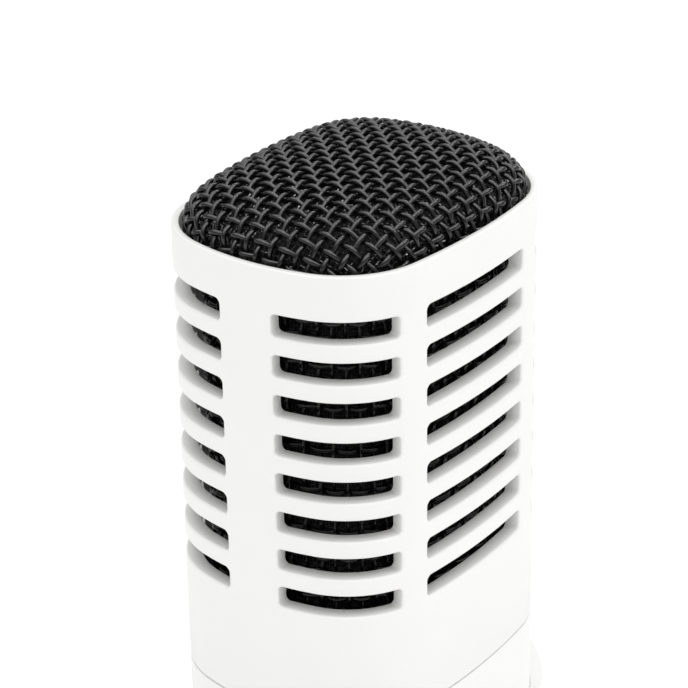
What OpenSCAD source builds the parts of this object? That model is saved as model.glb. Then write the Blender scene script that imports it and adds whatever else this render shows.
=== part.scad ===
// Desktop microphone: slotted head with a woven-wire crown, tilting in a U-shaped yoke
// that swivels on a weighted round base. Millimetres, +Z up, the front faces -Y.
// The origin is on the desk, under the middle of the base.

/* [Head outline] */
// Half of the head's length across X
half_l = 26.4; // [24:0.1:28]
// Half of the head's width across Y
half_w = 21; // [19:0.1:23]
// Radius of the bowed long sides
r_long = 100; // [80:1:140]
// Radius of the bowed short sides
r_short = 37.5; // [34:0.5:44]
// Radius of the four corners
r_corner = 14; // [12:0.5:15]
// Thickness of the housing walls
wall = 2.4; // [2:0.1:3]

/* [Head heights] */
// Height of the rim round the wire crown
rim_z = 165; // [160:1:180]
// Height of the parting line between the two housings
seam_z = 95.5; // [94:0.5:98]
// Height of the head's lower edge
head_z = 37; // [35:0.5:38]
// Height of the tilt axis
pivot_z = 70; // [68:0.5:72]
// Rise of the wire crown above the rim
crown_h = 7; // [6:0.2:11]
// Width of the rim's lip
lip = 1.1; // [0.9:0.1:1.4]
// Depth of the rebate that seats the crown
rebate = 2.6; // [2:0.1:3.2]

/* [Slots] */
// Rows of slots
slot_rows = 8; // [6:1:8]
// Distance from one row to the next
slot_pitch = 6; // [5:0.1:6.2]
// Height of a slot
slot_h = 3.3; // [2.4:0.1:4]
// Top edge of the first row below the rim
slot_top = 6.6; // [6:0.1:9]
// Half length of the slots in the front and the back
slot_face_half = 11.9; // [10:0.1:12.4]
// Where a corner slot starts, across X
slot_corner_x = 16.7; // [15.5:0.1:18]
// Where a corner slot ends, across Y
slot_corner_y = 4.4; // [3:0.1:7]

/* [Wire] */
// Thickness of the coarse woven mesh
mesh_t = 1.4; // [0.8:0.1:1.4]
// Thickness of the fine mesh behind it
fine_t = 0.4; // [0.3:0.1:0.6]
// Thickness of the foam liner
foam_t = 2; // [1.5:0.1:2.5]

/* [Controls] */
// Height of the gain knob's axis
knob_z = 59; // [56:0.5:60]
// Radius of the gain knob
knob_r = 8.6; // [7:0.1:9]
// Height of the mute button's axis
mute_z = 82; // [80:0.5:82.5]
// Radius of the mute button
mute_r = 4.5; // [3.5:0.1:5]
// Height of the status light's axis
light_z = 72.4; // [71:0.2:74]
// Distance of each rear socket from the middle
socket_x = 7.5; // [7:0.1:9]

/* [Yoke and base] */
// Inner face of each arm from the middle
arm_x = 29.6; // [29.6:0.1:32]
// Thickness of the yoke's arms
arm_t = 4.2; // [3.5:0.1:5]
// Width of the yoke's bar
arm_w = 18; // [16:0.5:20]
// Height of the yoke's underside
yoke_z = 24.5; // [24:0.1:25]
// Radius of the base
base_r = 52; // [50:1:60]

/* [Hidden] */

$fn = 64;
white = "#f1f1ed";
black = "#1c1d1f";
run_gap = 0.05;                       // radial clearance of a turning fit
slide_gap = 0.3;                      // clearance between parts that move apart
fixed_gap = 0.1;                      // clearance between parts that are fitted together
seam_gap = 0.3;                       // shadow gap at the parting line
corner_lap = 0.02;                    // how far the corner discs pass the side arcs

sleeve_d = wall + 1.4;                // inset of the mesh behind the slots
foam_d = 6.3;                         // inset of the foam liner
clamp_z = seam_z + 7.8;               // underside of the clamp that holds the meshes
sleeve_z0 = clamp_z + 2.1;
sleeve_z1 = rim_z - rebate - 0.2;
deck_z = clamp_z - 0.3;               // upper deck of the chassis
capsule_z = rim_z - 27;               // middle of the capsule
capsule_r = 12.5;
floor_z = head_z + 4;                 // lower deck of the chassis
board_y = -9.4;                       // front face of the control board
board_t = 1.6;
main_z = floor_z + 5.6;               // top face of the main board
socket_z = main_z + 1.6;              // middle of the data socket
jack_z = main_z + 2.5;                // middle of the headphone socket
boss_x = half_l + 0.6;                // flat face of each pivot boss
arm_out = arm_x + arm_t;
shoulder_r = 4;
cap_r = arm_w / 2;
bar_t = 4.5;                          // thickness of the yoke's cross bar
yoke_corner = 14;                     // outer bend of the yoke
base_top = 15;
plate_z = 1.2;
plate_t = 2;
post_r = 9;
spigot_r = 5;
bush_r = 7;
fix_r = 34;                           // radius of the base's screw circle
crown_m = 3;                        // fullness of the crown in plan
crown_k = 2;                        // fullness of the crown's shoulders

// ---- outline of the head: bowed sides joined by tangent corner arcs ----

function unit(v) = v / norm(v);
long_c = [0, half_w - r_long];
short_c = [half_l - r_short, 0];
// Centre of the corner arc, where it touches both side arcs from inside
corner_c = let (span = norm(short_c - long_c), u = (short_c - long_c) / span,
                a = r_long - r_corner, b = r_short - r_corner,
                s = (span * span + a * a - b * b) / (2 * span))
    long_c + s * u + sqrt(a * a - s * s) * [u[1], -u[0]];
long_n = unit(corner_c - long_c);     // direction of the tangent point on the long side
short_n = unit(corner_c - short_c);   // direction of the tangent point on the short side

function long_tangent(d) = corner_c + (r_corner - d) * long_n;
function short_tangent(d) = corner_c + (r_corner - d) * short_n;

// Plan of the head, moved inwards by d. The corner discs stand a hair proud of the side arcs.
module outline(d) {
    l = long_tangent(d);
    s = short_tangent(d);
    u = unit(l - s);
    a = l + u * (half_w + 1 - l[1]) / u[1];
    b = s + u * (half_l + 1 - s[0]) / u[0];
    intersection() {
        translate(long_c) circle(r_long - d);
        translate(-long_c) circle(r_long - d);
        translate(short_c) circle(r_short - d);
        translate(-short_c) circle(r_short - d);
        union() {
            polygon([a, b, [b[0], -b[1]], [a[0], -a[1]], -a, -b, [-b[0], b[1]], [-a[0], a[1]]]);
            for (i = [-1, 1], j = [-1, 1])
                translate([i * corner_c[0], j * corner_c[1]]) circle(r_corner - d + corner_lap);
        }
    }
}

// Upright solid on the outline, moved inwards by d, between two heights
module slab(d, z0, z1) translate([0, 0, z0]) linear_extrude(height = z1 - z0) outline(d);

module tube_wall(d0, d1, z0, z1) {
    difference() {
        slab(d0, z0, z1);
        slab(d1, z0 - 1, z1 + 1);
    }
}

// Points along the outline, moved inwards by d
function arc(c, r, a0, a1, n = 6) =
    [for (i = [0:n - 1]) let (a = a0 + (a1 - a0) * i / n) c + r * [cos(a), sin(a)]];
function outline_points(d) =
    let (s = atan2(short_n[1], short_n[0]), l = atan2(long_n[1], long_n[0]),
         half = concat(arc(short_c, r_short - d, -s, s), arc(corner_c, r_corner - d, s, l),
                       arc(long_c, r_long - d, l, 180 - l),
                       arc([-corner_c[0], corner_c[1]], r_corner - d, 180 - l, 180 - s)))
    concat(half, -half);

// Rings of points up a wall and over a crown, ending just short of its middle
function crown_rings(d, z0, h, steps = 8) = concat(
    [for (p = outline_points(d)) [p[0], p[1], z0]],
    [for (i = [0:steps - 1]) let (a = 90 - 88 * i / steps,
         u = pow(sin(a), 2 / crown_m), z = rim_z + h * pow(cos(a), 2 / crown_k))
         each [for (p = outline_points(d)) [u * p[0], u * p[1], z]]]);

// Thin basket: an upright wall from z0 to the rim, closed by a crown of height h
module basket(d, t, z0, h) {
    outer = crown_rings(d, z0, h);
    inner = crown_rings(d + t, z0, h - t);
    n = len(outline_points(0));
    rows = len(outer) / n;
    m = len(outer);
    last = (rows - 1) * n;
    points = concat(outer, inner, [[0, 0, rim_z + h], [0, 0, rim_z + h - t]]);
    polyhedron(points = points, faces = concat(
        [for (r = [0:rows - 2], i = [0:n - 1]) let (a = r * n + i, b = r * n + (i + 1) % n)
            each [[a, a + n, b], [b, a + n, b + n]]],
        [for (r = [0:rows - 2], i = [0:n - 1]) let (a = m + r * n + i, b = m + r * n + (i + 1) % n)
            each [[a, b, a + n], [b, b + n, a + n]]],
        [for (i = [0:n - 1]) let (a = last + i, b = last + (i + 1) % n) [a, 2 * m, b]],
        [for (i = [0:n - 1]) let (a = m + last + i, b = m + last + (i + 1) % n) [a, b, 2 * m + 1]],
        [for (i = [0:n - 1]) let (j = (i + 1) % n) each [[i, j, m + i], [j, m + j, m + i]]]));
}

// ---- small shapes ----

module rod_x(r, x0, x1, z) translate([x0, 0, z]) rotate([0, 90, 0]) cylinder(r = r, h = x1 - x0);
module rod_y(r, y0, y1, z, x = 0) translate([x, y0, z]) rotate([-90, 0, 0]) cylinder(r = r, h = y1 - y0);
module rod_z(r, z0, z1, p = [0, 0]) translate([p[0], p[1], z0]) cylinder(r = r, h = z1 - z0);
module block(x0, x1, y0, y1, z0, z1) translate([x0, y0, z0]) cube([x1 - x0, y1 - y0, z1 - z0]);

// Pan-head screw along +Z with its head's underside at the origin, driven from below
module pan_screw(r, head_r, head_h, length) {
    difference() {
        union() {
            cylinder(r = r, h = length);
            translate([0, 0, -head_h]) cylinder(r1 = head_r * 0.82, r2 = head_r, h = head_h);
        }
        translate([0, 0, -head_h - 0.1]) cylinder(r = head_r * 0.5, h = head_h * 0.6 + 0.1, $fn = 6);
    }
}

// Rounded slot shape across X, for a socket mouth
module mouth(w, h) {
    square([w - h, h], center = true);
    for (i = [-1, 1]) translate([i * (w - h) / 2, 0]) circle(h / 2);
}

// ---- upper head ----

// Plan of one row of slots; every end is square to the wall
module slot_plan() {
    fx = slot_face_half;
    fp = [fx, long_c[1] + sqrt(r_long * r_long - fx * fx)];
    fn = unit(fp - long_c);
    cx = slot_corner_x;
    cp = [cx, corner_c[1] + sqrt(pow(r_corner, 2) - pow(cx - corner_c[0], 2))];
    cn = unit(cp - corner_c);
    sy = slot_corner_y;
    sp = [short_c[0] + sqrt(r_short * r_short - sy * sy), sy];
    sn = unit(sp - short_c);
    far = [half_l + 10, half_w + 10];
    for (j = [-1, 1]) {
        f0 = fp - 5 * fn;
        f1 = fp + 8 * fn;
        polygon([[f0[0], j * f0[1]], [f1[0], j * f1[1]], [-f1[0], j * f1[1]], [-f0[0], j * f0[1]]]);
        for (i = [-1, 1])
            polygon([for (p = [cp - 5 * cn, cp + 8 * cn, far, sp + 8 * sn, sp - 5 * sn])
                     [i * p[0], j * p[1]]]);
    }
}

module grille_housing() {
    color(white)
    difference() {
        slab(0, seam_z + seam_gap / 2, rim_z);
        slab(wall, seam_z - 1, rim_z + 1);
        slab(lip, rim_z - rebate, rim_z + 1);
        for (i = [0:slot_rows - 1])
            translate([0, 0, rim_z - slot_top - slot_h - i * slot_pitch])
                linear_extrude(height = slot_h) slot_plan();
    }
}

module dome_mesh() {
    color(black) basket(lip + 0.35, mesh_t, rim_z - rebate + 0.1, crown_h);
}

module dome_liner_mesh() {
    color("#303236") basket(lip + 0.35 + mesh_t + 0.2, fine_t, rim_z - rebate + 0.1, crown_h - mesh_t - 0.2);
}

module sleeve_mesh() {
    color(black) tube_wall(sleeve_d, sleeve_d + mesh_t, sleeve_z0, sleeve_z1);
}

module sleeve_liner_mesh() {
    d = sleeve_d + mesh_t + 0.2;
    color("#303236") tube_wall(d, d + fine_t, sleeve_z0, sleeve_z1);
}

module foam_liner() {
    color("#26272a") basket(foam_d, foam_t, sleeve_z0, crown_h - mesh_t - fine_t - 1.4);
}

module mesh_clamp() {
    color(black)
    difference() {
        slab(wall + fixed_gap, clamp_z, sleeve_z0 - 0.1);
        slab(foam_d + foam_t + 0.4, clamp_z - 1, sleeve_z0 + 1);
    }
}

// ---- capsule ----

module capsule_ring() {
    color("silver")
    difference() {
        rod_y(capsule_r, -5, -3.4, capsule_z);
        rod_y(9.8, -6, -2, capsule_z);
    }
}

module capsule_diaphragm() {
    color("gold") rod_y(10.5, -3.35, -3.15, capsule_z);
}

module capsule_backplate() {
    color("#b08d3c")
    difference() {
        rod_y(10.5, -3.05, -1.05, capsule_z);
        for (a = [0:45:315])
            rod_y(0.7, -4, 0, capsule_z + 6.5 * sin(a), 6.5 * cos(a));
    }
}

module capsule_cup() {
    color("#2b2c2f")
    difference() {
        rod_y(capsule_r, -3.3, 5, capsule_z);
        rod_y(10.6, -4, 3.6, capsule_z);
        rod_y(2, 3, 6, capsule_z);
    }
}

module capsule_cradle() {
    color("#1a1a1b")
    difference() {
        rod_y(15, -3, 3, capsule_z);
        rod_y(capsule_r + run_gap, -4, 4, capsule_z);
        for (a = [0:60:300])
            rod_y(0.8, -4, 4, capsule_z + 13.8 * sin(a), 13.8 * cos(a));
    }
}

module capsule_bracket() {
    color("#3a3c40")
    difference() {
        union() {
            rod_y(17, -2.5, 2.5, capsule_z);
            block(-4, 4, -1.6, 1.6, deck_z + 1, capsule_z - 16);
            block(-10, 10, -4.5, 4.5, deck_z, deck_z + 1.6);
        }
        rod_y(15 + run_gap, -4, 4, capsule_z);
        for (i = [-1, 1]) rod_z(1.3, deck_z - 1, deck_z + 3, [i * 7.5, 0]);
    }
}

module bracket_screws() {
    color("silver")
    for (i = [-1, 1])
        translate([i * 7.5, 0, deck_z + 1.7]) rotate([180, 0, 0]) pan_screw(1.1, 2.1, 1.4, 3.4);
}

// ---- chassis and lower head ----

module chassis() {
    color("#34363a")
    difference() {
        union() {
            tube_wall(wall + fixed_gap, wall + 2, seam_z - 7.5, deck_z);
            slab(wall + 1, deck_z - 2, deck_z);
            slab(wall + fixed_gap, floor_z, floor_z + 2);
            for (i = [-1, 1]) {
                block(i * 11 - 2, i * 11 + 2, board_y + board_t + 0.1, -3, floor_z + 1, deck_z - 1);
                for (j = [-1, 1]) rod_z(3, floor_z + 1, floor_z + 8, [i * 18.5, j * 8]);
                for (y = [0, 14]) rod_z(1.8, floor_z + 1, main_z - board_t, [i * 12, y]);
            }
        }
        rod_z(5, deck_z - 3, deck_z + 1);
        rod_z(7, floor_z - 1, floor_z + 3);
        for (i = [-1, 1]) {
            rod_z(1.15, deck_z - 3, deck_z + 1, [i * 7.5, 0]);
            for (z = [knob_z - 6, seam_z - 6.5]) rod_y(1 + run_gap, -9, -2, z, i * 11);
            for (j = [-1, 1]) rod_z(1.2 + run_gap, floor_z - 1, floor_z + 7, [i * 18.5, j * 8]);
        }
    }
}

module lower_housing() {
    color(white)
    difference() {
        union() {
            tube_wall(0, wall, head_z, seam_z - seam_gap / 2);
            for (i = [-1, 1]) rotate([0, 0, 90 - 90 * i]) rod_x(cap_r, 20.5, boss_x, pivot_z);
        }
        for (i = [-1, 1]) rotate([0, 0, 90 - 90 * i]) rod_x(3.65, 19, half_l + 2, pivot_z);
        // seat and shaft hole of the knob
        rod_y(knob_r + 0.6, -half_w - 2, -half_w + 0.9, knob_z);
        rod_y(3.6, -half_w - 1, -half_w + 5, knob_z);
        rod_y(mute_r + 0.35, -half_w - 1, -half_w + 5, mute_z);
        rod_y(1.65, -half_w - 1, -half_w + 5, light_z);
        // mouths of the rear sockets
        translate([-socket_x, half_w + 1, socket_z]) rotate([90, 0, 0])
            linear_extrude(height = 5) mouth(9.7, 4);
        rod_y(3.2, half_w - 5, half_w + 1, jack_z, socket_x);
    }
}

module bottom_cap() {
    color(black)
    difference() {
        slab(wall + fixed_gap, head_z + 1, floor_z - 0.1);
        for (i = [-1, 1]) for (j = [-1, 1]) {
            rod_z(1.45, head_z, floor_z + 1, [i * 18.5, j * 8]);
            rod_z(2.6, head_z, head_z + 2.4, [i * 18.5, j * 8]);
        }
    }
}

module bottom_screws() {
    color("silver")
    for (i = [-1, 1]) for (j = [-1, 1])
        translate([i * 18.5, j * 8, head_z + 2.35]) pan_screw(1.2, 2.3, 1.3, 7.5);
}

module control_board() {
    color("#1f5a3a")
    difference() {
        block(-14, 14, board_y, board_y + board_t, floor_z + 9, seam_z - 3.5);
        for (i = [-1, 1]) for (z = [knob_z - 6, seam_z - 6.5]) rod_y(1.2, board_y - 1, board_y + 3, z, i * 11);
    }
}

module board_screws() {
    color("silver")
    for (i = [-1, 1]) for (z = [knob_z - 6, seam_z - 6.5])
        translate([i * 11, board_y - 0.05, z]) rotate([-90, 0, 0]) pan_screw(1, 1.9, 1.2, 6);
}

module gain_encoder() {
    color("#8d9196")
    difference() {
        union() {
            block(-5.5, 5.5, board_y - 6.4, board_y - 0.05, knob_z - 6, knob_z + 6);
            rod_y(4.5, board_y - 8.2, board_y - 6, knob_z);
        }
        rod_y(3 + run_gap, board_y - 9, board_y - 2, knob_z);
    }
}

module encoder_shaft() {
    color("silver")
    difference() {
        rod_y(3, -half_w - 5, board_y - 2.4, knob_z);
        block(-4, 4, -half_w - 6, -half_w - 0.4, knob_z + 2, knob_z + 4);
    }
}

module gain_knob() {
    y_back = -half_w + 0.55;
    color("#2a2b2e")
    difference() {
        union() {
            rod_y(knob_r, y_back - 6.6, y_back, knob_z);
            translate([0, y_back - 8, knob_z]) rotate([-90, 0, 0])
                cylinder(r1 = knob_r - 1.1, r2 = knob_r, h = 1.4);
        }
        for (a = [0:15:345])
            rod_y(0.45, y_back - 6.4, y_back + 1, knob_z + knob_r * sin(a), knob_r * cos(a));
        difference() {
            rod_y(3 + run_gap, -half_w - 5.2, y_back + 1, knob_z);
            block(-4, 4, -half_w - 6, -half_w - 0.5, knob_z + 2.05, knob_z + 4);
        }
        // pointer groove
        block(-0.5, 0.5, y_back - 9, y_back - 7.6, knob_z + 2.5, knob_z + 7);
    }
}

module mute_switch() {
    color("#44474c") {
        block(-3, 3, board_y - 3.5, board_y - 0.05, mute_z - 3, mute_z + 3);
        rod_y(1.7, board_y - 5, board_y - 3.4, mute_z);
    }
}

module mute_button() {
    color("#2a2b2e") {
        rod_y(mute_r, -half_w - 0.7, -half_w + 3.5, mute_z);
        rod_y(5.5, -half_w + 3.1, -half_w + 4, mute_z);
        rod_y(2, -half_w + 3.9, -half_w + 4.8, mute_z);
    }
}

module status_lens() {
    color("#d8f5dc") {
        rod_y(1.55, -half_w - 0.1, -half_w + 3, light_z);
        rod_y(2.3, -half_w + 2.9, board_y - 1, light_z);
    }
}

module main_board() {
    color("#1f5a3a")
    block(-14.5, 14.5, -2.4, 17.4, main_z - board_t, main_z);
}

module board_parts() {
    top = main_z + 0.02;
    color("#222428") {
        block(-10, -3, -1, 6, top, top + 1);
        block(2, 7, -1.5, 2.5, top, top + 1);
        for (x = [10, 12.2]) block(x - 0.6, x + 0.6, -1, 1.6, top, top + 1.1);
    }
    color("silver")
    for (x = [0, 12]) rod_z(1.8, top, top + 5, [x, 5.5]);
}

module usb_socket() {
    color("silver")
    translate([-socket_x, half_w - 1, socket_z + 0.05]) rotate([90, 0, 0]) {
        difference() {
            linear_extrude(height = 8.6) mouth(8.9, 3.2);
            translate([0, 0, -1]) linear_extrude(height = 8.6) mouth(8.3, 2.6);
        }
        translate([-3.2, -0.35, 0.8]) cube([6.4, 0.7, 7]);
    }
}

module phones_socket() {
    color("#222428")
    difference() {
        union() {
            block(socket_x - 3, socket_x + 3, 7.5, half_w - wall - 0.6, main_z + 0.02, main_z + 5.2);
            rod_y(2.9, half_w - wall - 1, half_w - 0.6, jack_z, socket_x);
        }
        rod_y(1.8, half_w - 12.6, half_w, jack_z, socket_x);
    }
}

// ---- tilt joint: the same set of pieces on each side ----

module on_side(side) rotate([0, 0, side > 0 ? 0 : 180]) children();

module pivot_insert(side) {
    color("#b08d3c") on_side(side)
    difference() {
        rod_x(3.6, 20.5, boss_x - 0.1, pivot_z);
        rod_x(2.45, 20, boss_x, pivot_z);
    }
}

module pivot_pad(side) {
    color("#1a1a1b") on_side(side)
    difference() {
        rod_x(cap_r - 0.5, boss_x + 0.02, arm_x - slide_gap, pivot_z);
        rod_x(shoulder_r + 0.1, boss_x - 1, arm_x + 1, pivot_z);
    }
}

module pivot_screw(side) {
    color("silver") on_side(side)
    difference() {
        union() {
            rod_x(2.4, 21, boss_x + 0.1, pivot_z);
            rod_x(shoulder_r, boss_x + 0.05, arm_out + 1.1, pivot_z);
            rod_x(7, arm_out + 1, arm_out + 2.8, pivot_z);
        }
        translate([arm_out + 1.4, 0, pivot_z]) rotate([0, 90, 0]) cylinder(r = 2.6, h = 3, $fn = 6);
    }
}

module pivot_cap(side) {
    color(white) on_side(side)
    difference() {
        union() {
            rod_x(cap_r, arm_out + slide_gap, arm_out + 3.6, pivot_z);
            translate([arm_out + 3.6, 0, pivot_z]) rotate([0, 90, 0])
                cylinder(r1 = cap_r, r2 = cap_r - 1, h = 1);
        }
        rod_x(7.9, arm_out, arm_out + 2.9, pivot_z);
    }
}

module arm_bush(side) {
    color("#d9d9d4") on_side(side)
    difference() {
        union() {
            rod_x(5.5, arm_x + 0.05, arm_out, pivot_z);
            rod_x(7.4, arm_out + 0.02, arm_out + 0.7, pivot_z);
            rod_x(5.5, arm_out - 0.1, arm_out + 0.1, pivot_z);
        }
        rod_x(shoulder_r + run_gap, arm_x - 1, arm_out + 2, pivot_z);
    }
}

module pivot_insert_left() pivot_insert(-1);
module pivot_insert_right() pivot_insert(1);
module pivot_pad_left() pivot_pad(-1);
module pivot_pad_right() pivot_pad(1);
module pivot_screw_left() pivot_screw(-1);
module pivot_screw_right() pivot_screw(1);
module pivot_cap_left() pivot_cap(-1);
module pivot_cap_right() pivot_cap(1);
module arm_bush_left() arm_bush(-1);
module arm_bush_right() arm_bush(1);

// ---- yoke ----

// Front view of a U-shaped trough: half width x, floor z, bends of radius r
module trough(x, z, r) {
    translate([-x, z + r]) square([2 * x, 90]);
    translate([r - x, z]) square([2 * (x - r), r + 1]);
    for (i = [-1, 1]) translate([i * (x - r), z + r]) circle(r);
}

module yoke() {
    color(white)
    difference() {
        intersection() {
            translate([0, arm_w / 2, 0]) rotate([90, 0, 0]) linear_extrude(height = arm_w)
                difference() {
                    trough(arm_out, yoke_z, yoke_corner);
                    trough(arm_x, yoke_z + bar_t, yoke_corner - arm_t);
                }
            union() {
                rod_x(arm_w / 2, -arm_out - 1, arm_out + 1, pivot_z);
                block(-arm_out - 1, arm_out + 1, -arm_w / 2, arm_w / 2, yoke_z - 1, pivot_z);
            }
        }
        rod_x(5.55, -arm_out - 1, arm_out + 1, pivot_z);
        rod_z(spigot_r + 0.05, yoke_z - 1, yoke_z + 2);
        rod_z(2.3, yoke_z, yoke_z + bar_t + 1);
        translate([0, 0, yoke_z + bar_t - 2.1]) cylinder(r1 = 2.3, r2 = 4.5, h = 2.2);
    }
}

module post_screw() {
    top = yoke_z + bar_t;
    color("silver")
    difference() {
        union() {
            rod_z(1.95, yoke_z - 7, top - 1);
            translate([0, 0, top - 2.15]) cylinder(r1 = 2, r2 = 4.2, h = 2.1);
        }
        translate([0, 0, top - 1.5]) cylinder(r = 1.5, h = 2, $fn = 6);
    }
}

module yoke_post() {
    color("silver")
    difference() {
        union() {
            rod_z(spigot_r, 6.2, base_top + 2);
            rod_z(post_r, base_top + 1.1, yoke_z - 1);
            translate([0, 0, yoke_z - 1]) cylinder(r1 = post_r, r2 = post_r - 0.95, h = 0.95);
            rod_z(spigot_r, yoke_z - 1, yoke_z + 1.8);
        }
        rod_z(2, 6, 14);
        rod_z(2, yoke_z - 8, yoke_z + 3);
    }
}

module swivel_washer() {
    color("silver")
    difference() {
        rod_z(8.5, 5.4, 6.15);
        rod_z(2.2, 5, 7);
    }
}

module swivel_screw() {
    color("silver") translate([0, 0, 5.35]) pan_screw(1.95, 4, 1.6, 7.5);
}

// ---- base ----

module swivel_bush() {
    color("#d9d9d4")
    difference() {
        union() {
            rod_z(bush_r - 0.05, 6.6, base_top + 0.4);
            rod_z(10.5, base_top + 0.02, base_top + 0.8);
        }
        rod_z(spigot_r + run_gap, 6, base_top + 2);
    }
}

module base_cover() {
    color(white)
    difference() {
        union() {
            rotate_extrude() difference() {
                union() {
                    polygon([[0, 1.4], [base_r, 1.4], [base_r, 7], [base_r - 6, 13], [12, base_top],
                             [0, base_top]]);
                    translate([base_r - 6, 7]) circle(6);
                }
                polygon([[0, 0], [base_r - 2.4, 0], [base_r - 2.4, 7], [base_r - 6.2, 10.8],
                         [12, base_top - 2.2], [0, base_top - 2.2]]);
            }
            rod_z(11, 6.6, base_top - 1);
            for (a = [45:90:315])
                rod_z(4, plate_z + plate_t + 0.1, base_top - 2.6, fix_r * [cos(a), sin(a)]);
        }
        rod_z(bush_r, 6, base_top + 1);
        for (a = [45:90:315]) rod_z(1.25, 0, 11, fix_r * [cos(a), sin(a)]);
    }
}

module base_weight() {
    color("#4a4b4d")
    difference() {
        rod_z(base_r - 6, plate_z + plate_t + 0.1, 10);
        rod_z(13, 0, 12);
        for (a = [45:90:315]) rod_z(4.5, 0, 12, fix_r * [cos(a), sin(a)]);
    }
}

module base_plate() {
    color("#3b3d40")
    difference() {
        rod_z(base_r - 2.6, plate_z, plate_z + plate_t);
        difference() {
            rod_z(base_r - 3.9, 0, plate_z + 0.6);
            rod_z(base_r - 12.1, -1, plate_z + 1);
        }
        for (a = [45:90:315]) {
            rod_z(1.7, 0, 4, fix_r * [cos(a), sin(a)]);
            rod_z(3.1, 0, plate_z + 1.1, fix_r * [cos(a), sin(a)]);
        }
    }
}

module base_screws() {
    color("silver")
    for (a = [45:90:315])
        translate([fix_r * cos(a), fix_r * sin(a), plate_z + 1.05]) pan_screw(1.2, 2.7, 1, 7.5);
}

module foot_ring() {
    color("#1a1a1b")
    difference() {
        rod_z(base_r - 4, 0, plate_z + 0.55);
        rod_z(base_r - 12, -1, plate_z + 1);
    }
}

grille_housing();
dome_mesh();
dome_liner_mesh();
sleeve_mesh();
sleeve_liner_mesh();
foam_liner();
mesh_clamp();
capsule_ring();
capsule_diaphragm();
capsule_backplate();
capsule_cup();
capsule_cradle();
capsule_bracket();
bracket_screws();
chassis();
lower_housing();
bottom_cap();
bottom_screws();
control_board();
board_screws();
gain_encoder();
encoder_shaft();
gain_knob();
mute_switch();
mute_button();
status_lens();
main_board();
board_parts();
usb_socket();
phones_socket();
pivot_insert_left();
pivot_insert_right();
pivot_pad_left();
pivot_pad_right();
pivot_screw_left();
pivot_screw_right();
pivot_cap_left();
pivot_cap_right();
arm_bush_left();
arm_bush_right();
yoke();
yoke_post();
post_screw();
swivel_washer();
swivel_screw();
swivel_bush();
base_cover();
base_weight();
base_plate();
base_screws();
foot_ring();
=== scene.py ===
"""Looks of a desktop microphone: slotted white head with a woven-wire crown, yoke and round base.

Sizes are millimetres while a piece is being modelled, and the last step of every piece brings it
to metres. The right-hand side is +X, the front faces -Y, and the desk is at height 0.
"""

import logging
import math
from collections.abc import Callable, Iterator, Sequence
from contextlib import contextmanager
from dataclasses import dataclass
from enum import Enum

import bmesh
import bpy
import numpy as np
from mathutils import Matrix, Vector


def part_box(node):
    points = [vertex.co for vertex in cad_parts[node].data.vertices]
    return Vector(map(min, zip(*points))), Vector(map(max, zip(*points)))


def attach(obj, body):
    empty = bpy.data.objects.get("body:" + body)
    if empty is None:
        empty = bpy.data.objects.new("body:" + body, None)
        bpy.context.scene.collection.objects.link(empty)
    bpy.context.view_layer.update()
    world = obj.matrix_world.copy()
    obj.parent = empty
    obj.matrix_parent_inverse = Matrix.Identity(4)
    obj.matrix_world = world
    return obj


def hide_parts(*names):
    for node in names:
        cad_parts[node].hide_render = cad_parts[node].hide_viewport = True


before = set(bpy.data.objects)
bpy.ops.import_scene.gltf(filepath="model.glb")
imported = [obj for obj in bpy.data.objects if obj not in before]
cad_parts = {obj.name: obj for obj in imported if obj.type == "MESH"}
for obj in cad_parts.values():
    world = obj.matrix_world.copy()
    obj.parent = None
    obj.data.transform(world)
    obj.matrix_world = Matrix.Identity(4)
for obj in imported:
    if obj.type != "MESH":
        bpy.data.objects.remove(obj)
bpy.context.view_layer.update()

MM = 0.001
log = logging.getLogger("microphone")

Point = tuple[float, float]
Colour = tuple[float, float, float]
Bend = Callable[[np.ndarray], np.ndarray]


# ---------------------------------------------------------------------------
# Bench: the few moves that every piece is modelled with
# ---------------------------------------------------------------------------


def low_corner(node: str) -> Vector:
    """Gives the lowest corner of a CAD node in millimetres."""
    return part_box(node)[0] / MM


def high_corner(node: str) -> Vector:
    """Gives the highest corner of a CAD node in millimetres."""
    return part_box(node)[1] / MM


def activate(*pieces: bpy.types.Object) -> None:
    """Selects these pieces and nothing else, in object mode.

    Args:
        pieces: Objects to select; the first becomes the active one.
    """
    if bpy.context.mode != "OBJECT":
        bpy.ops.object.mode_set(mode="OBJECT")
    bpy.ops.object.select_all(action="DESELECT")
    for piece in pieces:
        piece.select_set(True)
    if pieces:
        bpy.context.view_layer.objects.active = pieces[0]


@contextmanager
def editing(piece: bpy.types.Object, mode: str = "VERT") -> Iterator[None]:
    """Opens a piece in edit mode with nothing selected, and leaves edit mode at the end.

    Args:
        piece: Mesh object to edit.
        mode: Select mode, VERT, EDGE or FACE.

    Yields:
        Nothing; the operators act on the open piece.
    """
    activate(piece)
    bpy.ops.object.mode_set(mode="EDIT")
    bpy.ops.mesh.select_mode(type=mode)
    bpy.ops.mesh.select_all(action="DESELECT")
    yield
    bpy.ops.object.mode_set(mode="OBJECT")


def pick(piece: bpy.types.Object, kind: str, test: Callable[[Vector], bool], among: bool = False) -> None:
    """Selects the elements of the open piece whose middle passes a test.

    Args:
        piece: Mesh object in edit mode.
        kind: verts, edges or faces.
        test: Takes the middle of an element.
        among: Whether only what is already selected is tested.
    """
    mesh = bmesh.from_edit_mesh(piece.data)
    for item in getattr(mesh, kind):
        corners = [item.co] if kind == "verts" else [v.co for v in item.verts]
        middle = sum(corners, Vector()) / len(corners)
        item.select_set((item.select or not among) and bool(test(middle)))
    mesh.select_flush_mode()
    bmesh.update_edit_mesh(piece.data)


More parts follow.
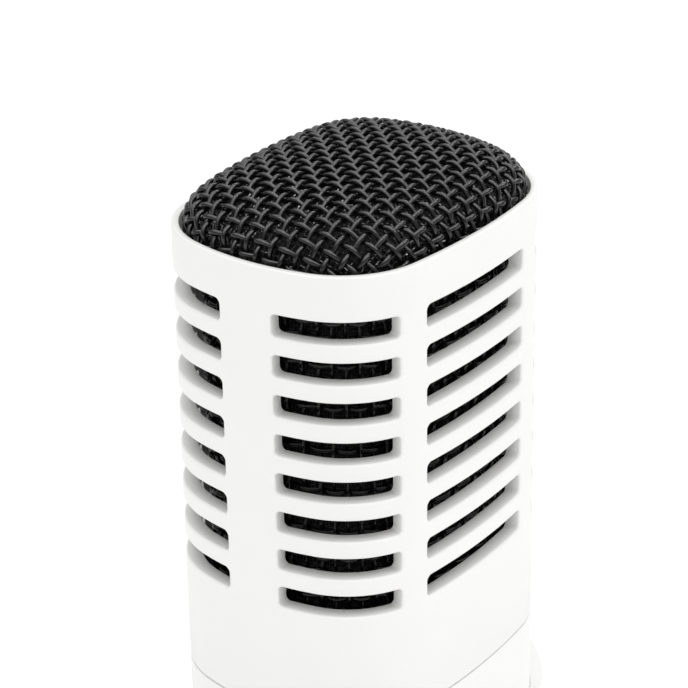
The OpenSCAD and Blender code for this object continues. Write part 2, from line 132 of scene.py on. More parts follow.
def named(name: str) -> bpy.types.Object:
    """Names the object that an operator has just made, and applies its place.

    Args:
        name: New name of the object and its mesh.

    Returns:
        The active object.
    """
    piece = bpy.context.active_object
    piece.name = piece.data.name = name
    activate(piece)
    bpy.ops.object.transform_apply(location=True, rotation=True, scale=True)
    return piece


def modify(piece: bpy.types.Object, kind: str, **settings: object) -> None:
    """Adds a modifier to a piece and applies it at once.

    Args:
        piece: Mesh object.
        kind: Blender's modifier type.
        settings: Values for the modifier's own properties.
    """
    activate(piece)
    modifier = piece.modifiers.new(kind.lower(), kind)
    for key, value in settings.items():
        setattr(modifier, key, value)
    bpy.ops.object.modifier_apply(modifier=modifier.name)


def joined(pieces: Sequence[bpy.types.Object], name: str) -> bpy.types.Object:
    """Joins pieces into one.

    Args:
        pieces: Mesh objects.
        name: Name of the joined piece.

    Returns:
        The joined piece.
    """
    activate(*pieces)
    bpy.ops.object.join()
    return named(name)


def clean(piece: bpy.types.Object, near: float = 0.002) -> None:
    """Merges doubled vertices and turns the faces outwards.

    Args:
        piece: Mesh object, still in millimetres.
        near: Vertices closer than this are merged.
    """
    with editing(piece):
        bpy.ops.mesh.select_all(action="SELECT")
        bpy.ops.mesh.remove_doubles(threshold=near)
        bpy.ops.mesh.normals_make_consistent(inside=False)


def wrap(piece: bpy.types.Object, bend: Bend) -> None:
    """Moves every vertex of a piece through a function.

    Args:
        piece: Mesh object.
        bend: Gives new positions from old ones, one row to a vertex.
    """
    flat = np.empty(len(piece.data.vertices) * 3)
    piece.data.vertices.foreach_get("co", flat)
    piece.data.vertices.foreach_set("co", bend(flat.reshape(-1, 3)).reshape(-1))
    piece.data.update()


def cut_across(piece: bpy.types.Object, places: Sequence[float]) -> None:
    """Cuts a flat strip square across its length, so that it can bend there.

    Args:
        piece: Flat strip along X.
        places: X of each cut.
    """
    with editing(piece, "FACE"):
        for place in places:
            bpy.ops.mesh.select_all(action="SELECT")
            bpy.ops.mesh.bisect(plane_co=(place, 0, 0), plane_no=(1, 0, 0))


def trim(piece: bpy.types.Object, low: float, high: float) -> None:
    """Removes what a strip has beyond two places along X, and leaves its ends open.

    Args:
        piece: Flat strip along X.
        low: Where the kept stretch starts.
        high: Where it ends.
    """
    with editing(piece, "FACE"):
        bpy.ops.mesh.select_all(action="SELECT")
        bpy.ops.mesh.bisect(plane_co=(low, 0, 0), plane_no=(1, 0, 0), clear_inner=True)
        bpy.ops.mesh.select_all(action="SELECT")
        bpy.ops.mesh.bisect(plane_co=(high, 0, 0), plane_no=(1, 0, 0), clear_outer=True)


def carve(piece: bpy.types.Object, tool: bpy.types.Object, operation: str = "DIFFERENCE") -> None:
    """Cuts or adds a tool shape to a piece and removes the tool.

    Args:
        piece: Mesh object that is kept.
        tool: Mesh object that is used up.
        operation: DIFFERENCE or UNION.
    """
    modify(piece, "BOOLEAN", object=tool, operation=operation, solver="EXACT")
    bpy.data.objects.remove(tool)


def block(name: str, low: Sequence[float], high: Sequence[float]) -> bpy.types.Object:
    """Makes a plain block to start a piece from.

    Args:
        name: Name of the new piece.
        low: Lowest corner.
        high: Highest corner.

    Returns:
        The block.
    """
    middle = [(a + b) / 2 for a, b in zip(low, high)]
    size = [b - a for a, b in zip(low, high)]
    bpy.ops.mesh.primitive_cube_add(size=1, location=middle)
    bpy.context.active_object.scale = size
    return named(name)


def rounded(corners: Sequence[Point], radii: Sequence[float], steps: int = 5) -> list[Point]:
    """Rounds the corners of a section.

    Args:
        corners: Corner points in order.
        radii: Fillet radius at each corner; 0 leaves it sharp.
        steps: Steps along each fillet.

    Returns:
        The section with each rounded corner replaced by its arc.
    """
    out: list[Point] = []
    count = len(corners)
    for i, (corner, radius) in enumerate(zip(corners, radii)):
        if radius <= 0:
            out.append(corner)
            continue
        here = Vector(corner)
        back = (Vector(corners[i - 1]) - here).normalized()
        ahead = (Vector(corners[(i + 1) % count]) - here).normalized()
        half = math.acos(max(-1.0, min(1.0, back.dot(ahead)))) / 2
        centre = here + (back + ahead).normalized() * radius / math.sin(half)
        start = here + back * (radius / math.tan(half)) - centre
        turn = math.copysign(math.pi - 2 * half, back.x * ahead.y - back.y * ahead.x)
        for k in range(steps + 1):
            out.append(tuple(centre + Matrix.Rotation(-turn * k / steps, 2) @ start))
    return out


def swept(
    name: str, stations: int, place: Callable[[int, float, float], Sequence[float]], section: Sequence[Point], ring: bool
) -> bpy.types.Object:
    """Carries a section round a loop: a circle is added and extruded once for each section point.

    Args:
        name: Name of the new piece.
        stations: Number of places round the loop.
        place: Gives the position for a station and a section point.
        section: Points of (offset, height).
        ring: Whether the section closes on itself; otherwise flat ends close the piece.

    Returns:
        The closed piece.
    """
    activate()
    bpy.ops.mesh.primitive_circle_add(vertices=stations, radius=1, fill_type="NOTHING" if ring else "NGON")
    piece = named(name)
    with editing(piece):
        mesh = bmesh.from_edit_mesh(piece.data)
        tag = mesh.verts.layers.int.new("station")
        for vertex in mesh.verts:
            vertex[tag] = vertex.index
        bpy.ops.mesh.select_all(action="SELECT")
        for step, point in enumerate([*section, section[0]] if ring else section):
            if step:
                bpy.ops.mesh.extrude_region_move()
            mesh = bmesh.from_edit_mesh(piece.data)
            tag = mesh.verts.layers.int["station"]
            for vertex in mesh.verts:
                if vertex.select:
                    vertex.co = place(vertex[tag], *point)
            bmesh.update_edit_mesh(piece.data)
    piece.data.attributes.remove(piece.data.attributes["station"])
    clean(piece)
    return piece


def turned(name: str, section: Sequence[Point], ring: bool = False, sides: int = 96) -> bpy.types.Object:
    """Makes a part turned about Z.

    Args:
        name: Name of the new piece.
        section: Points of (radius, height).
        ring: Whether the section closes round a bore.
        sides: Number of sides.

    Returns:
        The new piece.
    """
    step = math.tau / sides
    return swept(
        name, sides, lambda i, r, h: (r * math.cos(i * step), r * math.sin(i * step), h), section, ring
    )


class Facing(Enum):
    """Which way the +Z of a turned part points once it is in place."""

    UP = ((1, 0, 0), (0, 1, 0), (0, 0, 1))
    FRONT = ((1, 0, 0), (0, 0, -1), (0, 1, 0))
    BACK = ((-1, 0, 0), (0, 0, 1), (0, 1, 0))
    RIGHT = ((0, 0, 1), (1, 0, 0), (0, 1, 0))
    LEFT = ((0, 0, -1), (-1, 0, 0), (0, 1, 0))


def put(piece: bpy.types.Object, facing: Facing, at: Sequence[float] = (0, 0, 0)) -> bpy.types.Object:
    """Turns and moves a piece's mesh; the object itself stays at the origin.

    Args:
        piece: Mesh object in millimetres.
        facing: Where the piece's own +Z goes.
        at: Place of the piece's own origin.

    Returns:
        The same piece.
    """
    piece.data.transform(Matrix.Translation(at) @ Matrix(facing.value).to_4x4())
    piece.data.update()
    return piece


def settle(
    piece: bpy.types.Object, body: str, finish: "Finish", nodes: Sequence[str] = (), angle: float = 35
) -> bpy.types.Object:
    """Brings a finished piece to metres, dresses it and hands it to the frame.

    Args:
        piece: Mesh object in millimetres.
        body: CAD body that it rides on.
        finish: Finish that it gets.
        nodes: CAD nodes that it replaces.
        angle: Sharpest edge, in degrees, that still shades smooth.

    Returns:
        The same piece.
    """
    piece.data.transform(Matrix.Scale(MM, 4))
    activate(piece)
    bpy.ops.object.shade_smooth_by_angle(angle=math.radians(angle))
    piece.data.materials.clear()
    piece.data.materials.append(finish.material())
    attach(piece, body)
    if nodes:
        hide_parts(*nodes)
    return piece


# ---------------------------------------------------------------------------
# Plan of the head
# ---------------------------------------------------------------------------


@dataclass(frozen=True)
class HeadOutline:
    """Plan of the head: bowed sides joined by tangent corner arcs.

    A place on it is named by its arc length from the middle of the right-hand side.
    """

    half_length: float = 26.4
    half_width: float = 21.0
    long_radius: float = 100.0
    short_radius: float = 37.5
    corner_radius: float = 14.0

    def centres(self) -> tuple[Vector, Vector, Vector]:
        """Gives the centres of the right-hand, corner and back arcs of the first quarter."""
        right = Vector((self.half_length - self.short_radius, 0.0))
        back = Vector((0.0, self.half_width - self.long_radius))
        span = (right - back).length
        along = (right - back) / span
        far = self.long_radius - self.corner_radius
        near = self.short_radius - self.corner_radius
        reach = (span**2 + far**2 - near**2) / (2 * span)
        corner = back + along * reach + Vector((along.y, -along.x)) * math.sqrt(far**2 - reach**2)
        return right, corner, back

    def marks(self) -> tuple[list[float], list[float]]:
        """Gives the arc length and the normal's direction at the ends of the first quarter's arcs."""
        right, corner, back = self.centres()
        starts = [math.atan2(*(corner - c).yx) for c in (right, back)]
        angles = [0.0, *starts, math.pi / 2]
        radii = (self.short_radius, self.corner_radius, self.long_radius)
        lengths = [0.0]
        for radius, first, last in zip(radii, angles, angles[1:]):
            lengths.append(lengths[-1] + radius * (last - first))
        return lengths, angles

    def quarter(self) -> float:
        """Gives the arc length of a quarter of the outline."""
        return self.marks()[0][-1]

    def arc_at(self, angle: float) -> float:
        """Gives the arc length where the normal has a direction in the first quarter."""
        lengths, angles = self.marks()
        return float(np.interp(angle, angles, lengths))

    def plan(self, arc: np.ndarray, inset: np.ndarray) -> tuple[np.ndarray, np.ndarray]:
        """Gives plan positions.

        Args:
            arc: Arc lengths, of any number of turns.
            inset: How far inside the outline each place is.

        Returns:
            The x and the y of each place.
        """
        lengths, angles = self.marks()
        quarter = lengths[-1]
        arc = np.mod(arc, 4 * quarter)
        turn = np.minimum(np.floor(arc / quarter), 3)
        rest = arc - turn * quarter
        along = np.where(turn % 2 == 1, quarter - rest, rest)
        angle = np.interp(along, lengths, angles)
        which = [along < lengths[1], along < lengths[2]]
        right, corner, back = self.centres()
        radius = np.select(which, [self.short_radius, self.corner_radius], self.long_radius)
        x = np.select(which, [right.x, corner.x], back.x) + (radius - inset) * np.cos(angle)
        y = np.select(which, [right.y, corner.y], back.y) + (radius - inset) * np.sin(angle)
        return np.where((turn == 1) | (turn == 2), -x, x), np.where(turn >= 2, -y, y)

    def bend(self, flat: np.ndarray) -> np.ndarray:
        """Wraps flat places (arc length, inset, height) round the outline."""
        x, y = self.plan(flat[:, 0], flat[:, 1])
        return np.stack([x, y, flat[:, 2]], axis=1)

    def stations(self) -> np.ndarray:
        """Gives arc lengths all round, closest together on the corners."""
        lengths, _ = self.marks()
        steps = (5, 18, 5)
        quarter = np.concatenate(
            [np.linspace(a, b, n, endpoint=False) for a, b, n in zip(lengths, lengths[1:], steps)]
        )
        half = np.concatenate([quarter, 2 * lengths[-1] - np.append(quarter[1:], lengths[-1])[::-1]])
        return np.concatenate([half, half + 2 * lengths[-1]])

    def sweep(self, name: str, section: Sequence[Point], ring: bool = True) -> bpy.types.Object:
        """Carries an (inset, height) section round the outline.

        Args:
            name: Name of the new piece.
            section: Section points.
            ring: Whether the section closes on itself.

        Returns:
            The new piece.
        """
        arcs = self.stations()

        def place(station: int, inset: float, height: float) -> tuple[float, float, float]:
            """Puts a station on the outline."""
            x, y = self.plan(arcs[station], np.float64(inset))
            return float(x), float(y), height

        return swept(name, len(arcs), place, section, ring)

    def close(self, strip: bpy.types.Object, start: float = 0.0) -> bpy.types.Object:
        """Trims a flat strip to one turn, bends it round the outline and joins its ends.

        Args:
            strip: Flat strip along X, longer than one turn.
            start: Arc length where its ends meet.

        Returns:
            The same piece, closed.
        """
        turn = 4 * self.quarter()
        trim(strip, start, start + turn)
        places = (start + (arc - start) % turn for arc in self.stations())
        cut_across(strip, [place for place in places if place > start + 0.01])
        wrap(strip, self.bend)
        clean(strip, 0.0004)
        return strip


OUTLINE = HeadOutline()


# ---------------------------------------------------------------------------
# Finishes
# ---------------------------------------------------------------------------


class Graph:
    """Short way to add and link the nodes of one material or group."""

    def __init__(self, tree: bpy.types.NodeTree) -> None:
        """Starts on an empty tree."""
        self.tree = tree
        tree.nodes.clear()

    def add(self, kind: str, inputs: dict[str | int, object] | None = None, **settings: object) -> bpy.types.Node:
        """Adds a node.

        Args:
            kind: Node type without its ShaderNode prefix.
            inputs: Values or sockets for its inputs.
            settings: Values for the node's own properties.

        Returns:
            The node.
        """
        full = kind if kind.startswith("Node") else "ShaderNode" + kind
        node = self.tree.nodes.new(full)
        for key, value in settings.items():
            setattr(node, key, value)
        for key, value in (inputs or {}).items():
            if isinstance(value, bpy.types.NodeSocket):
                self.tree.links.new(value, node.inputs[key])
            else:
                node.inputs[key].default_value = value
        return node

    def math(self, operation: str, *values: object) -> bpy.types.NodeSocket:
        """Adds a Math node and gives its result."""
        return self.add("Math", dict(enumerate(values)), operation=operation).outputs[0]

    def spread(self, value: object, low: object, high: object) -> bpy.types.NodeSocket:
        """Maps a mask from 0..1 to low..high."""
        return self.add("MapRange", {"Value": value, "To Min": low, "To Max": high}).outputs["Result"]


def effect(name: str, inputs: dict[str, tuple[str, object]], outputs: Sequence[str]) -> tuple[Graph, bpy.types.Node, bpy.types.Node]:
    """Starts a shared effect group.

    Args:
        name: Name of the group.
        inputs: Socket type and default of each input.
        outputs: Names of the outputs, all plain values.

    Returns:
        The graph, its input node and its output node.
    """
    tree = bpy.data.node_groups.new(name, "ShaderNodeTree")
    graph = Graph(tree)
    for key, (kind, default) in inputs.items():
        socket = tree.interface.new_socket(key, in_out="INPUT", socket_type="NodeSocket" + kind)
        if default is not None:
            socket.default_value = default
    for key in outputs:
        tree.interface.new_socket(key, in_out="OUTPUT", socket_type="NodeSocketFloat")
    return graph, graph.add("NodeGroupInput"), graph.add("NodeGroupOutput")


def grain_group() -> bpy.types.NodeTree:
    """Makes the fine surface grain: a height for a bump and a slow random variation for colour and gloss."""
    if "fine grain" in bpy.data.node_groups:
        return bpy.data.node_groups["fine grain"]
    graph, start, end = effect(
        "fine grain", {"Vector": ("Vector", None), "Grains per metre": ("Float", 3000.0)}, ("Height", "Tone")
    )
    size = start.outputs["Grains per metre"]
    fine = graph.add(
        "TexNoise", {"Vector": start.outputs["Vector"], "Scale": size, "Detail": 2.0, "Roughness": 0.6}
    )
    slow = graph.add(
        "TexNoise", {"Vector": start.outputs["Vector"], "Scale": graph.math("MULTIPLY", size, 0.03), "Detail": 3.0}
    )
    graph.tree.links.new(fine.outputs[0], end.inputs["Height"])
    graph.tree.links.new(slow.outputs[0], end.inputs["Tone"])
    return graph.tree


def cloth_group() -> bpy.types.NodeTree:
    """Makes plain-woven wire cloth from a map in millimetres: a height and a mask of the wires, which is the height cut
    off at 1. Through it the gaps go black, partly for the dark inside seen through the cloth and partly as painted
    shade, and the wires get painted shade where they dip under their crossings.
    """
    if "wire cloth" in bpy.data.node_groups:
        return bpy.data.node_groups["wire cloth"]
    graph, start, end = effect(
        "wire cloth",
        {"Vector": ("Vector", None), "Pitch": ("Float", 0.63), "Wire share": ("Float", 0.34)},
        ("Height", "Wire"),
    )
    scaled = graph.add(
        "VectorMath",
        {0: start.outputs["Vector"], 1: graph.math("DIVIDE", 1.0, start.outputs["Pitch"])},
        operation="MULTIPLY",
    )
    split = graph.add("SeparateXYZ", {0: scaled.outputs[0]})
    heights = []
    for across, along in ((0, 1), (1, 0)):
        cell = graph.math("SUBTRACT", graph.math("FRACT", split.outputs[across]), 0.5)
        span = graph.math("DIVIDE", graph.math("ABSOLUTE", cell), graph.math("MULTIPLY", start.outputs["Wire share"], 0.5))
        round_top = graph.math("SQRT", graph.math("MAXIMUM", graph.math("SUBTRACT", 1.0, graph.math("MULTIPLY", span, span)), 0.0))
        row = graph.math("FLOOR", split.outputs[across])
        phase = graph.math("ADD", graph.math("MULTIPLY", split.outputs[along], math.pi), graph.math("MULTIPLY", row, math.pi))
        wave = graph.math("SINE", phase) if across == 0 else graph.math("MULTIPLY", graph.math("SINE", phase), -1.0)
        lifted = graph.math("ADD", round_top, graph.math("MULTIPLY", wave, 0.8))
        inside = graph.math("GREATER_THAN", round_top, 0.02)
        heights.append(graph.math("MULTIPLY", inside, graph.math("ADD", lifted, 1.0)))
    top = graph.math("MAXIMUM", *heights)
    graph.tree.links.new(top, end.inputs["Height"])
    # Colour mask: painted shade in the gaps and where a wire dips under its crossing.
    graph.tree.links.new(graph.math("MINIMUM", top, 1.0), end.inputs["Wire"])
    return graph.tree


class Pattern(Enum):
    """What a finish's surface is patterned with."""

    GRAIN = "grain"
    CLOTH = "cloth"
    BRUSHED = "brushed"
    PORES = "pores"


@dataclass(frozen=True)
class Finish:
    """One finish: a surface shader with procedural grain, wear and gloss.

    Attributes:
        name: Name of the material.
        slot: Name of the material slot that it stands for; not used.
        light: Lighter colour.
        dark: Darker colour that the mask mixes in: a slow random variation for grain, painted shade in the hollows and
            gaps for pores and cloth.
        gloss: Lowest and highest roughness.
        metallic: Metallic.
        coat: Coat weight.
        grains: Grains to a metre.
        depth: Depth of the grain in millimetres.
        pattern: What patterns it.
        glow: Emission strength.
    """

    name: str
    slot: str
    light: Colour
    dark: Colour
    gloss: tuple[float, float] = (0.4, 0.5)
    metallic: float = 0.0
    coat: float = 0.0
    grains: float = 3000.0
    depth: float = 0.01
    pattern: Pattern = Pattern.GRAIN
    glow: float = 0.0

    def material(self) -> bpy.types.Material:
        """Gives the material, and makes it the first time."""
        known = bpy.data.materials.get(self.name)
        if known:
            return known
        made = bpy.data.materials.new(self.name)
        made.use_nodes = True
        made.diffuse_color = (*self.light, 1.0)
        graph = Graph(made.node_tree)
        # The colour and the roughness follow one mask: a slow random variation for grain and brushing, and for pores
        # and cloth a copy of the height that paints shade into the hollows.
        height, tone_and_hollow_shade = self.texture(graph)
        colour = graph.add(
            "Mix", {"Factor": tone_and_hollow_shade, "A": (*self.dark, 1.0), "B": (*self.light, 1.0)}, data_type="RGBA"
        )
        bump = graph.add("Bump", {"Height": height, "Strength": 1.0, "Distance": self.depth * MM})
        surface = graph.add(
            "BsdfPrincipled",
            {
                "Base Color": colour.outputs["Result"],
                "Roughness": graph.spread(tone_and_hollow_shade, self.gloss[1], self.gloss[0]),
                "Metallic": self.metallic,
                "Coat Weight": self.coat,
                "Coat Roughness": 0.08,
                "Normal": bump.outputs["Normal"],
                "Emission Color": (*self.light, 1.0),
                "Emission Strength": self.glow,
            },
        )
        output = graph.add("OutputMaterial")
        graph.tree.links.new(surface.outputs[0], output.inputs["Surface"])
        return made

    def texture(self, graph: Graph) -> tuple[bpy.types.NodeSocket, bpy.types.NodeSocket]:
        """Adds the pattern.

        Args:
            graph: Graph of the material.

        Returns:
            The height for the bump and the mask that mixes dark and light; for cloth and pores the mask follows the
            height, which paints shade into the hollows.
        """
        where = graph.add("TexCoord")
        if self.pattern is Pattern.CLOTH:
            cloth = graph.add("Group", {}, node_tree=cloth_group())
            graph.tree.links.new(where.outputs["UV"], cloth.inputs["Vector"])
            return cloth.outputs["Height"], cloth.outputs["Wire"]
        vector = where.outputs["Object"]
        if self.pattern is Pattern.BRUSHED:
            vector = graph.add("Mapping", {"Vector": vector, "Scale": (0.04, 1.0, 1.0)}).outputs[0]
        if self.pattern is Pattern.PORES:
            # The colour darkens with the pores' depth: painted shade in their hollows.
            cells = graph.add("TexVoronoi", {"Vector": vector, "Scale": self.grains})
            return cells.outputs["Distance"], graph.math("MULTIPLY", cells.outputs["Distance"], 1.4)
        grain = graph.add("Group", {"Grains per metre": self.grains}, node_tree=grain_group())
        graph.tree.links.new(vector, grain.inputs["Vector"])
        return grain.outputs["Height"], grain.outputs["Tone"]


def grey(level: float, warm: float = 0.0) -> Colour:
    """Gives a grey, made slightly warmer or cooler."""
    return (level, level, level * (1 - warm))


WHITE_SHELL = Finish("white moulded shell", "white_housing", (0.87, 0.87, 0.855), (0.85, 0.85, 0.835), (0.34, 0.4), coat=0.08, grains=4200, depth=0.004)
WHITE_PAINT = Finish("white powder coat", "white_paint", (0.86, 0.86, 0.85), (0.83, 0.83, 0.82), (0.4, 0.5), grains=2200, depth=0.02)
BLACK_WIRE = Finish("black lacquered wire", "black_mesh", grey(0.004), grey(0.002), (0.16, 0.22), coat=0.3, grains=5000, depth=0.003)
FINE_WIRE = Finish("fine black wire", "fine_mesh", grey(0.16), grey(0.1), (0.2, 0.3), metallic=0.8, grains=9000, depth=0.002)
# Its dark colour fills the gaps: the dark inside seen through the cloth, deepened with painted shade.
FINE_CLOTH = Finish("fine wire cloth", "fine_mesh", grey(0.03), grey(0.002), (0.3, 0.7), metallic=0.2, depth=0.12, pattern=Pattern.CLOTH)
# The dark colour is painted shade in the hollows of the pores.
FOAM = Finish("open-cell foam", "foam", grey(0.02), grey(0.004), (0.9, 1.0), grains=1400, depth=0.35, pattern=Pattern.PORES)
BLACK_PLASTIC = Finish("black moulded plastic", "black_plastic", grey(0.022), grey(0.016), (0.38, 0.5), grains=3500, depth=0.012)
GREY_PLASTIC = Finish("grey moulded plastic", "grey_plastic", grey(0.12), grey(0.09), (0.45, 0.55), grains=3000, depth=0.015)
BLACK_RUBBER = Finish("black rubber", "black_rubber", grey(0.018), grey(0.012), (0.65, 0.8), grains=2500, depth=0.03)
NYLON = Finish("natural nylon", "nylon", (0.72, 0.71, 0.66), (0.68, 0.67, 0.61), (0.4, 0.5), grains=2500, depth=0.008)
BRIGHT_STEEL = Finish("turned steel", "bright_steel", grey(0.62), grey(0.55), (0.2, 0.32), metallic=1.0, grains=4000, depth=0.004, pattern=Pattern.BRUSHED)
ZINC_STEEL = Finish("zinc-plated steel", "zinc_steel", (0.56, 0.57, 0.58), (0.45, 0.46, 0.48), (0.25, 0.4), metallic=1.0, grains=2500, depth=0.006)
BRASS = Finish("turned brass", "brass_parts", (0.78, 0.58, 0.28), (0.68, 0.48, 0.2), (0.22, 0.34), metallic=1.0, grains=4000, depth=0.005, pattern=Pattern.BRUSHED)
GOLD_FILM = Finish("gold-sputtered film", "gold_film", (0.95, 0.72, 0.32), (0.9, 0.66, 0.27), (0.08, 0.14), metallic=1.0, grains=1500, depth=0.002)
ALUMINIUM = Finish("anodised aluminium", "aluminium_ring", grey(0.7), grey(0.62), (0.28, 0.36), metallic=1.0, grains=5000, depth=0.004, pattern=Pattern.BRUSHED)
IRON = Finish("cast iron", "iron", grey(0.07), grey(0.035), (0.6, 0.85), metallic=0.6, grains=1800, depth=0.12)
BOARD = Finish("solder-masked board", "board_green", (0.02, 0.12, 0.055), (0.012, 0.085, 0.04), (0.25, 0.35), coat=0.3, grains=1600, depth=0.012)
LENS = Finish("frosted light pipe", "lens", (0.62, 0.86, 0.66), (0.5, 0.78, 0.55), (0.25, 0.35), coat=0.4, grains=3000, depth=0.004)


# ---------------------------------------------------------------------------
# Head
# ---------------------------------------------------------------------------


@dataclass(frozen=True)
class GrilleHousing:
    """Upper housing: a wall wrapped round the outline, cut by rows of round-cornered slots."""

    rows: int = 8
    pitch: float = 6.0
    slot_height: float = 3.3
    below_rim: float = 6.6
    face_half: float = 11.9
    corner_x: float = 16.7
    corner_y: float = 4.4
    slot_corner: float = 0.75
    wall: float = 2.4
    lip: float = 1.1
    rebate: float = 2.6
    spare: float = 2.0

    def columns(self) -> list[tuple[float, float]]:
        """Gives the arc lengths where each column of slots starts and ends."""
        quarter = OUTLINE.quarter()
        corner = OUTLINE.centres()[1]
        first = OUTLINE.arc_at(math.asin(self.corner_y / OUTLINE.short_radius))
        last = OUTLINE.arc_at(math.acos((self.corner_x - corner.x) / OUTLINE.corner_radius))
        face = OUTLINE.arc_at(math.acos(self.face_half / OUTLINE.long_radius))
        half = [(first, last), (face, 2 * quarter - face), (2 * quarter - last, 2 * quarter - first)]
        return half + [(a + 2 * quarter, b + 2 * quarter) for a, b in half]

    def cell(self, slot: tuple[float, float], cell: tuple[float, float], top: float) -> bpy.types.Object:
        """Models one slot and the flat wall round it, and repeats it down the column.

        Args:
            slot: Where the slot starts and ends along the strip.
            cell: Where its share of the wall starts and ends.
            top: Height of the slot's upper edge.

        Returns:
            The flat column, on the plane of depth 0.
        """
        activate()
        bpy.ops.mesh.primitive_plane_add(
            size=1,
            location=((slot[0] + slot[1]) / 2, 0, top - self.slot_height / 2),
            rotation=(math.pi / 2, 0, 0),
        )
        bpy.context.active_object.scale = (slot[1] - slot[0], self.slot_height, 1)
        piece = named("column")
        margin = (self.pitch - self.slot_height) / 2
        ends = (top - self.slot_height - margin, top + margin)
        with editing(piece):
            bpy.ops.mesh.select_all(action="SELECT")
            bpy.ops.mesh.bevel(offset=self.slot_corner, segments=6, affect="VERTICES", clamp_overlap=False)
            bpy.ops.mesh.select_all(action="SELECT")
            bpy.ops.mesh.delete(type="ONLY_FACE")
            bpy.ops.mesh.select_all(action="SELECT")
            bpy.ops.mesh.extrude_region_move()
            mesh = bmesh.from_edit_mesh(piece.data)
            for vertex in mesh.verts:
                if vertex.select:
                    x, _, z = vertex.co
                    right, high = x > sum(slot) / 2, z > top - self.slot_height / 2
                    dx = abs(x - slot[right]) - self.slot_corner
                    dz = (top - z if high else z - top + self.slot_height) - self.slot_corner
                    turn = math.atan2(max(-dz, 0), max(-dx, 0))
                    if turn < 0.9:
                        vertex.co.x = cell[right]
                    if turn > 0.7:
                        vertex.co.z = ends[high]
            bmesh.update_edit_mesh(piece.data)
        modify(
            piece,
            "ARRAY",
            count=self.rows,
            use_relative_offset=False,
            use_constant_offset=True,
            constant_offset_displace=(0, 0, -self.pitch),
            use_merge_vertices=True,
            merge_threshold=0.001,
        )
        return piece

    def stretch(self, piece: bpy.types.Object, edge: Callable[[Vector], bool], by: Sequence[float]) -> None:
        """Extrudes the boundary edges of the flat sheet that pass a test.

        Args:
            piece: The flat sheet.
            edge: Takes the middle of an edge.
            by: How far they go.
        """
        with editing(piece, "EDGE"):
            bpy.ops.mesh.select_non_manifold()
            pick(piece, "edges", edge, among=True)
            bpy.ops.mesh.extrude_region_move(TRANSFORM_OT_translate={"value": by})

    def flat(self, low: float, rim: float) -> bpy.types.Object:
        """Models the whole wall as a flat strip.

        Args:
            low: Height of the lower edge.
            rim: Height of the rim.

        Returns:
            The flat strip, a little longer than one turn.
        """
        turn = 4 * OUTLINE.quarter()
        columns = self.columns()
        middles = [(a[1] + b[0]) / 2 for a, b in zip(columns, columns[1:])]
        bounds = [0.0, *middles, turn]
        cells = [
            self.cell(slot, (a, b), rim - self.below_rim) for slot, a, b in zip(columns, bounds, bounds[1:])
        ]
        sheet = joined(cells, "grille_housing_shell")
        with editing(sheet):
            bpy.ops.mesh.select_all(action="SELECT")
            bpy.ops.mesh.remove_doubles(threshold=0.001)
        margin = (self.pitch - self.slot_height) / 2
        top = rim - self.below_rim + margin
        bottom = top - self.rows * self.pitch
        self.stretch(sheet, lambda p: p.z > top - 0.01, (0, 0, rim - top))
        self.stretch(sheet, lambda p: p.z < bottom + 0.01, (0, 0, low - bottom))
        self.stretch(sheet, lambda p: p.x < 0.01, (-self.spare, 0, 0))
        self.stretch(sheet, lambda p: p.x > turn - 0.01, (self.spare, 0, 0))
        with editing(sheet, "FACE"):
            bpy.ops.mesh.select_all(action="SELECT")
            bpy.ops.mesh.extrude_region_move(TRANSFORM_OT_translate={"value": (0, self.wall, 0)})
        clean(sheet)
        with editing(sheet, "FACE"):
            for z in (rim - self.rebate, rim - self.rebate + 0.02):
                bpy.ops.mesh.select_all(action="SELECT")
                bpy.ops.mesh.bisect(plane_co=(0, 0, z), plane_no=(0, 0, 1))
        with editing(sheet):
            pick(sheet, "verts", lambda p: p.y > self.wall - 0.01 and p.z > rim - self.rebate + 0.01)
            bpy.ops.transform.translate(value=(0, self.lip - self.wall, 0))
        self.soften(sheet, low, rim, turn)
        return sheet

    def soften(self, sheet: bpy.types.Object, low: float, rim: float, turn: float) -> None:
        """Rounds the slots' outer and inner edges, the rim and the lower edge.

        Args:
            sheet: The flat strip.
            low: Height of the lower edge.
            rim: Height of the rim.
            turn: Length of one turn.
        """
        inside = lambda p: -1.9 < p.x < turn + 1.9
        edges = (
            (lambda p: p.y < 0.01 and low + 1 < p.z < rim - 1, 0.38, 4),
            (lambda p: p.y < 0.01 and p.z > rim - 0.01, 0.3, 3),
            (lambda p: self.lip - 0.01 < p.y < self.lip + 0.01 and p.z > rim - 0.01, 0.2, 2),
            (lambda p: p.y < 0.01 and p.z < low + 0.01, 0.15, 2),
            (lambda p: p.y > self.wall - 0.01 and low + 1 < p.z < rim - self.rebate - 1, 0.15, 2),
        )
        for test, size, segments in edges:
            with editing(sheet, "EDGE"):
                bpy.ops.mesh.edges_select_sharp(sharpness=math.radians(60))
                pick(sheet, "edges", lambda p, t=test: inside(p) and t(p), among=True)
                bpy.ops.mesh.bevel(offset=size, segments=segments, profile=0.5, clamp_overlap=False)

    def build(self) -> bpy.types.Object:
        """Builds the housing.

        Returns:
            The finished piece.
        """
        strip = self.flat(low_corner("grille_housing").z, high_corner("grille_housing").z)
        OUTLINE.close(strip)
        return settle(strip, "head", WHITE_SHELL, ["grille_housing"])


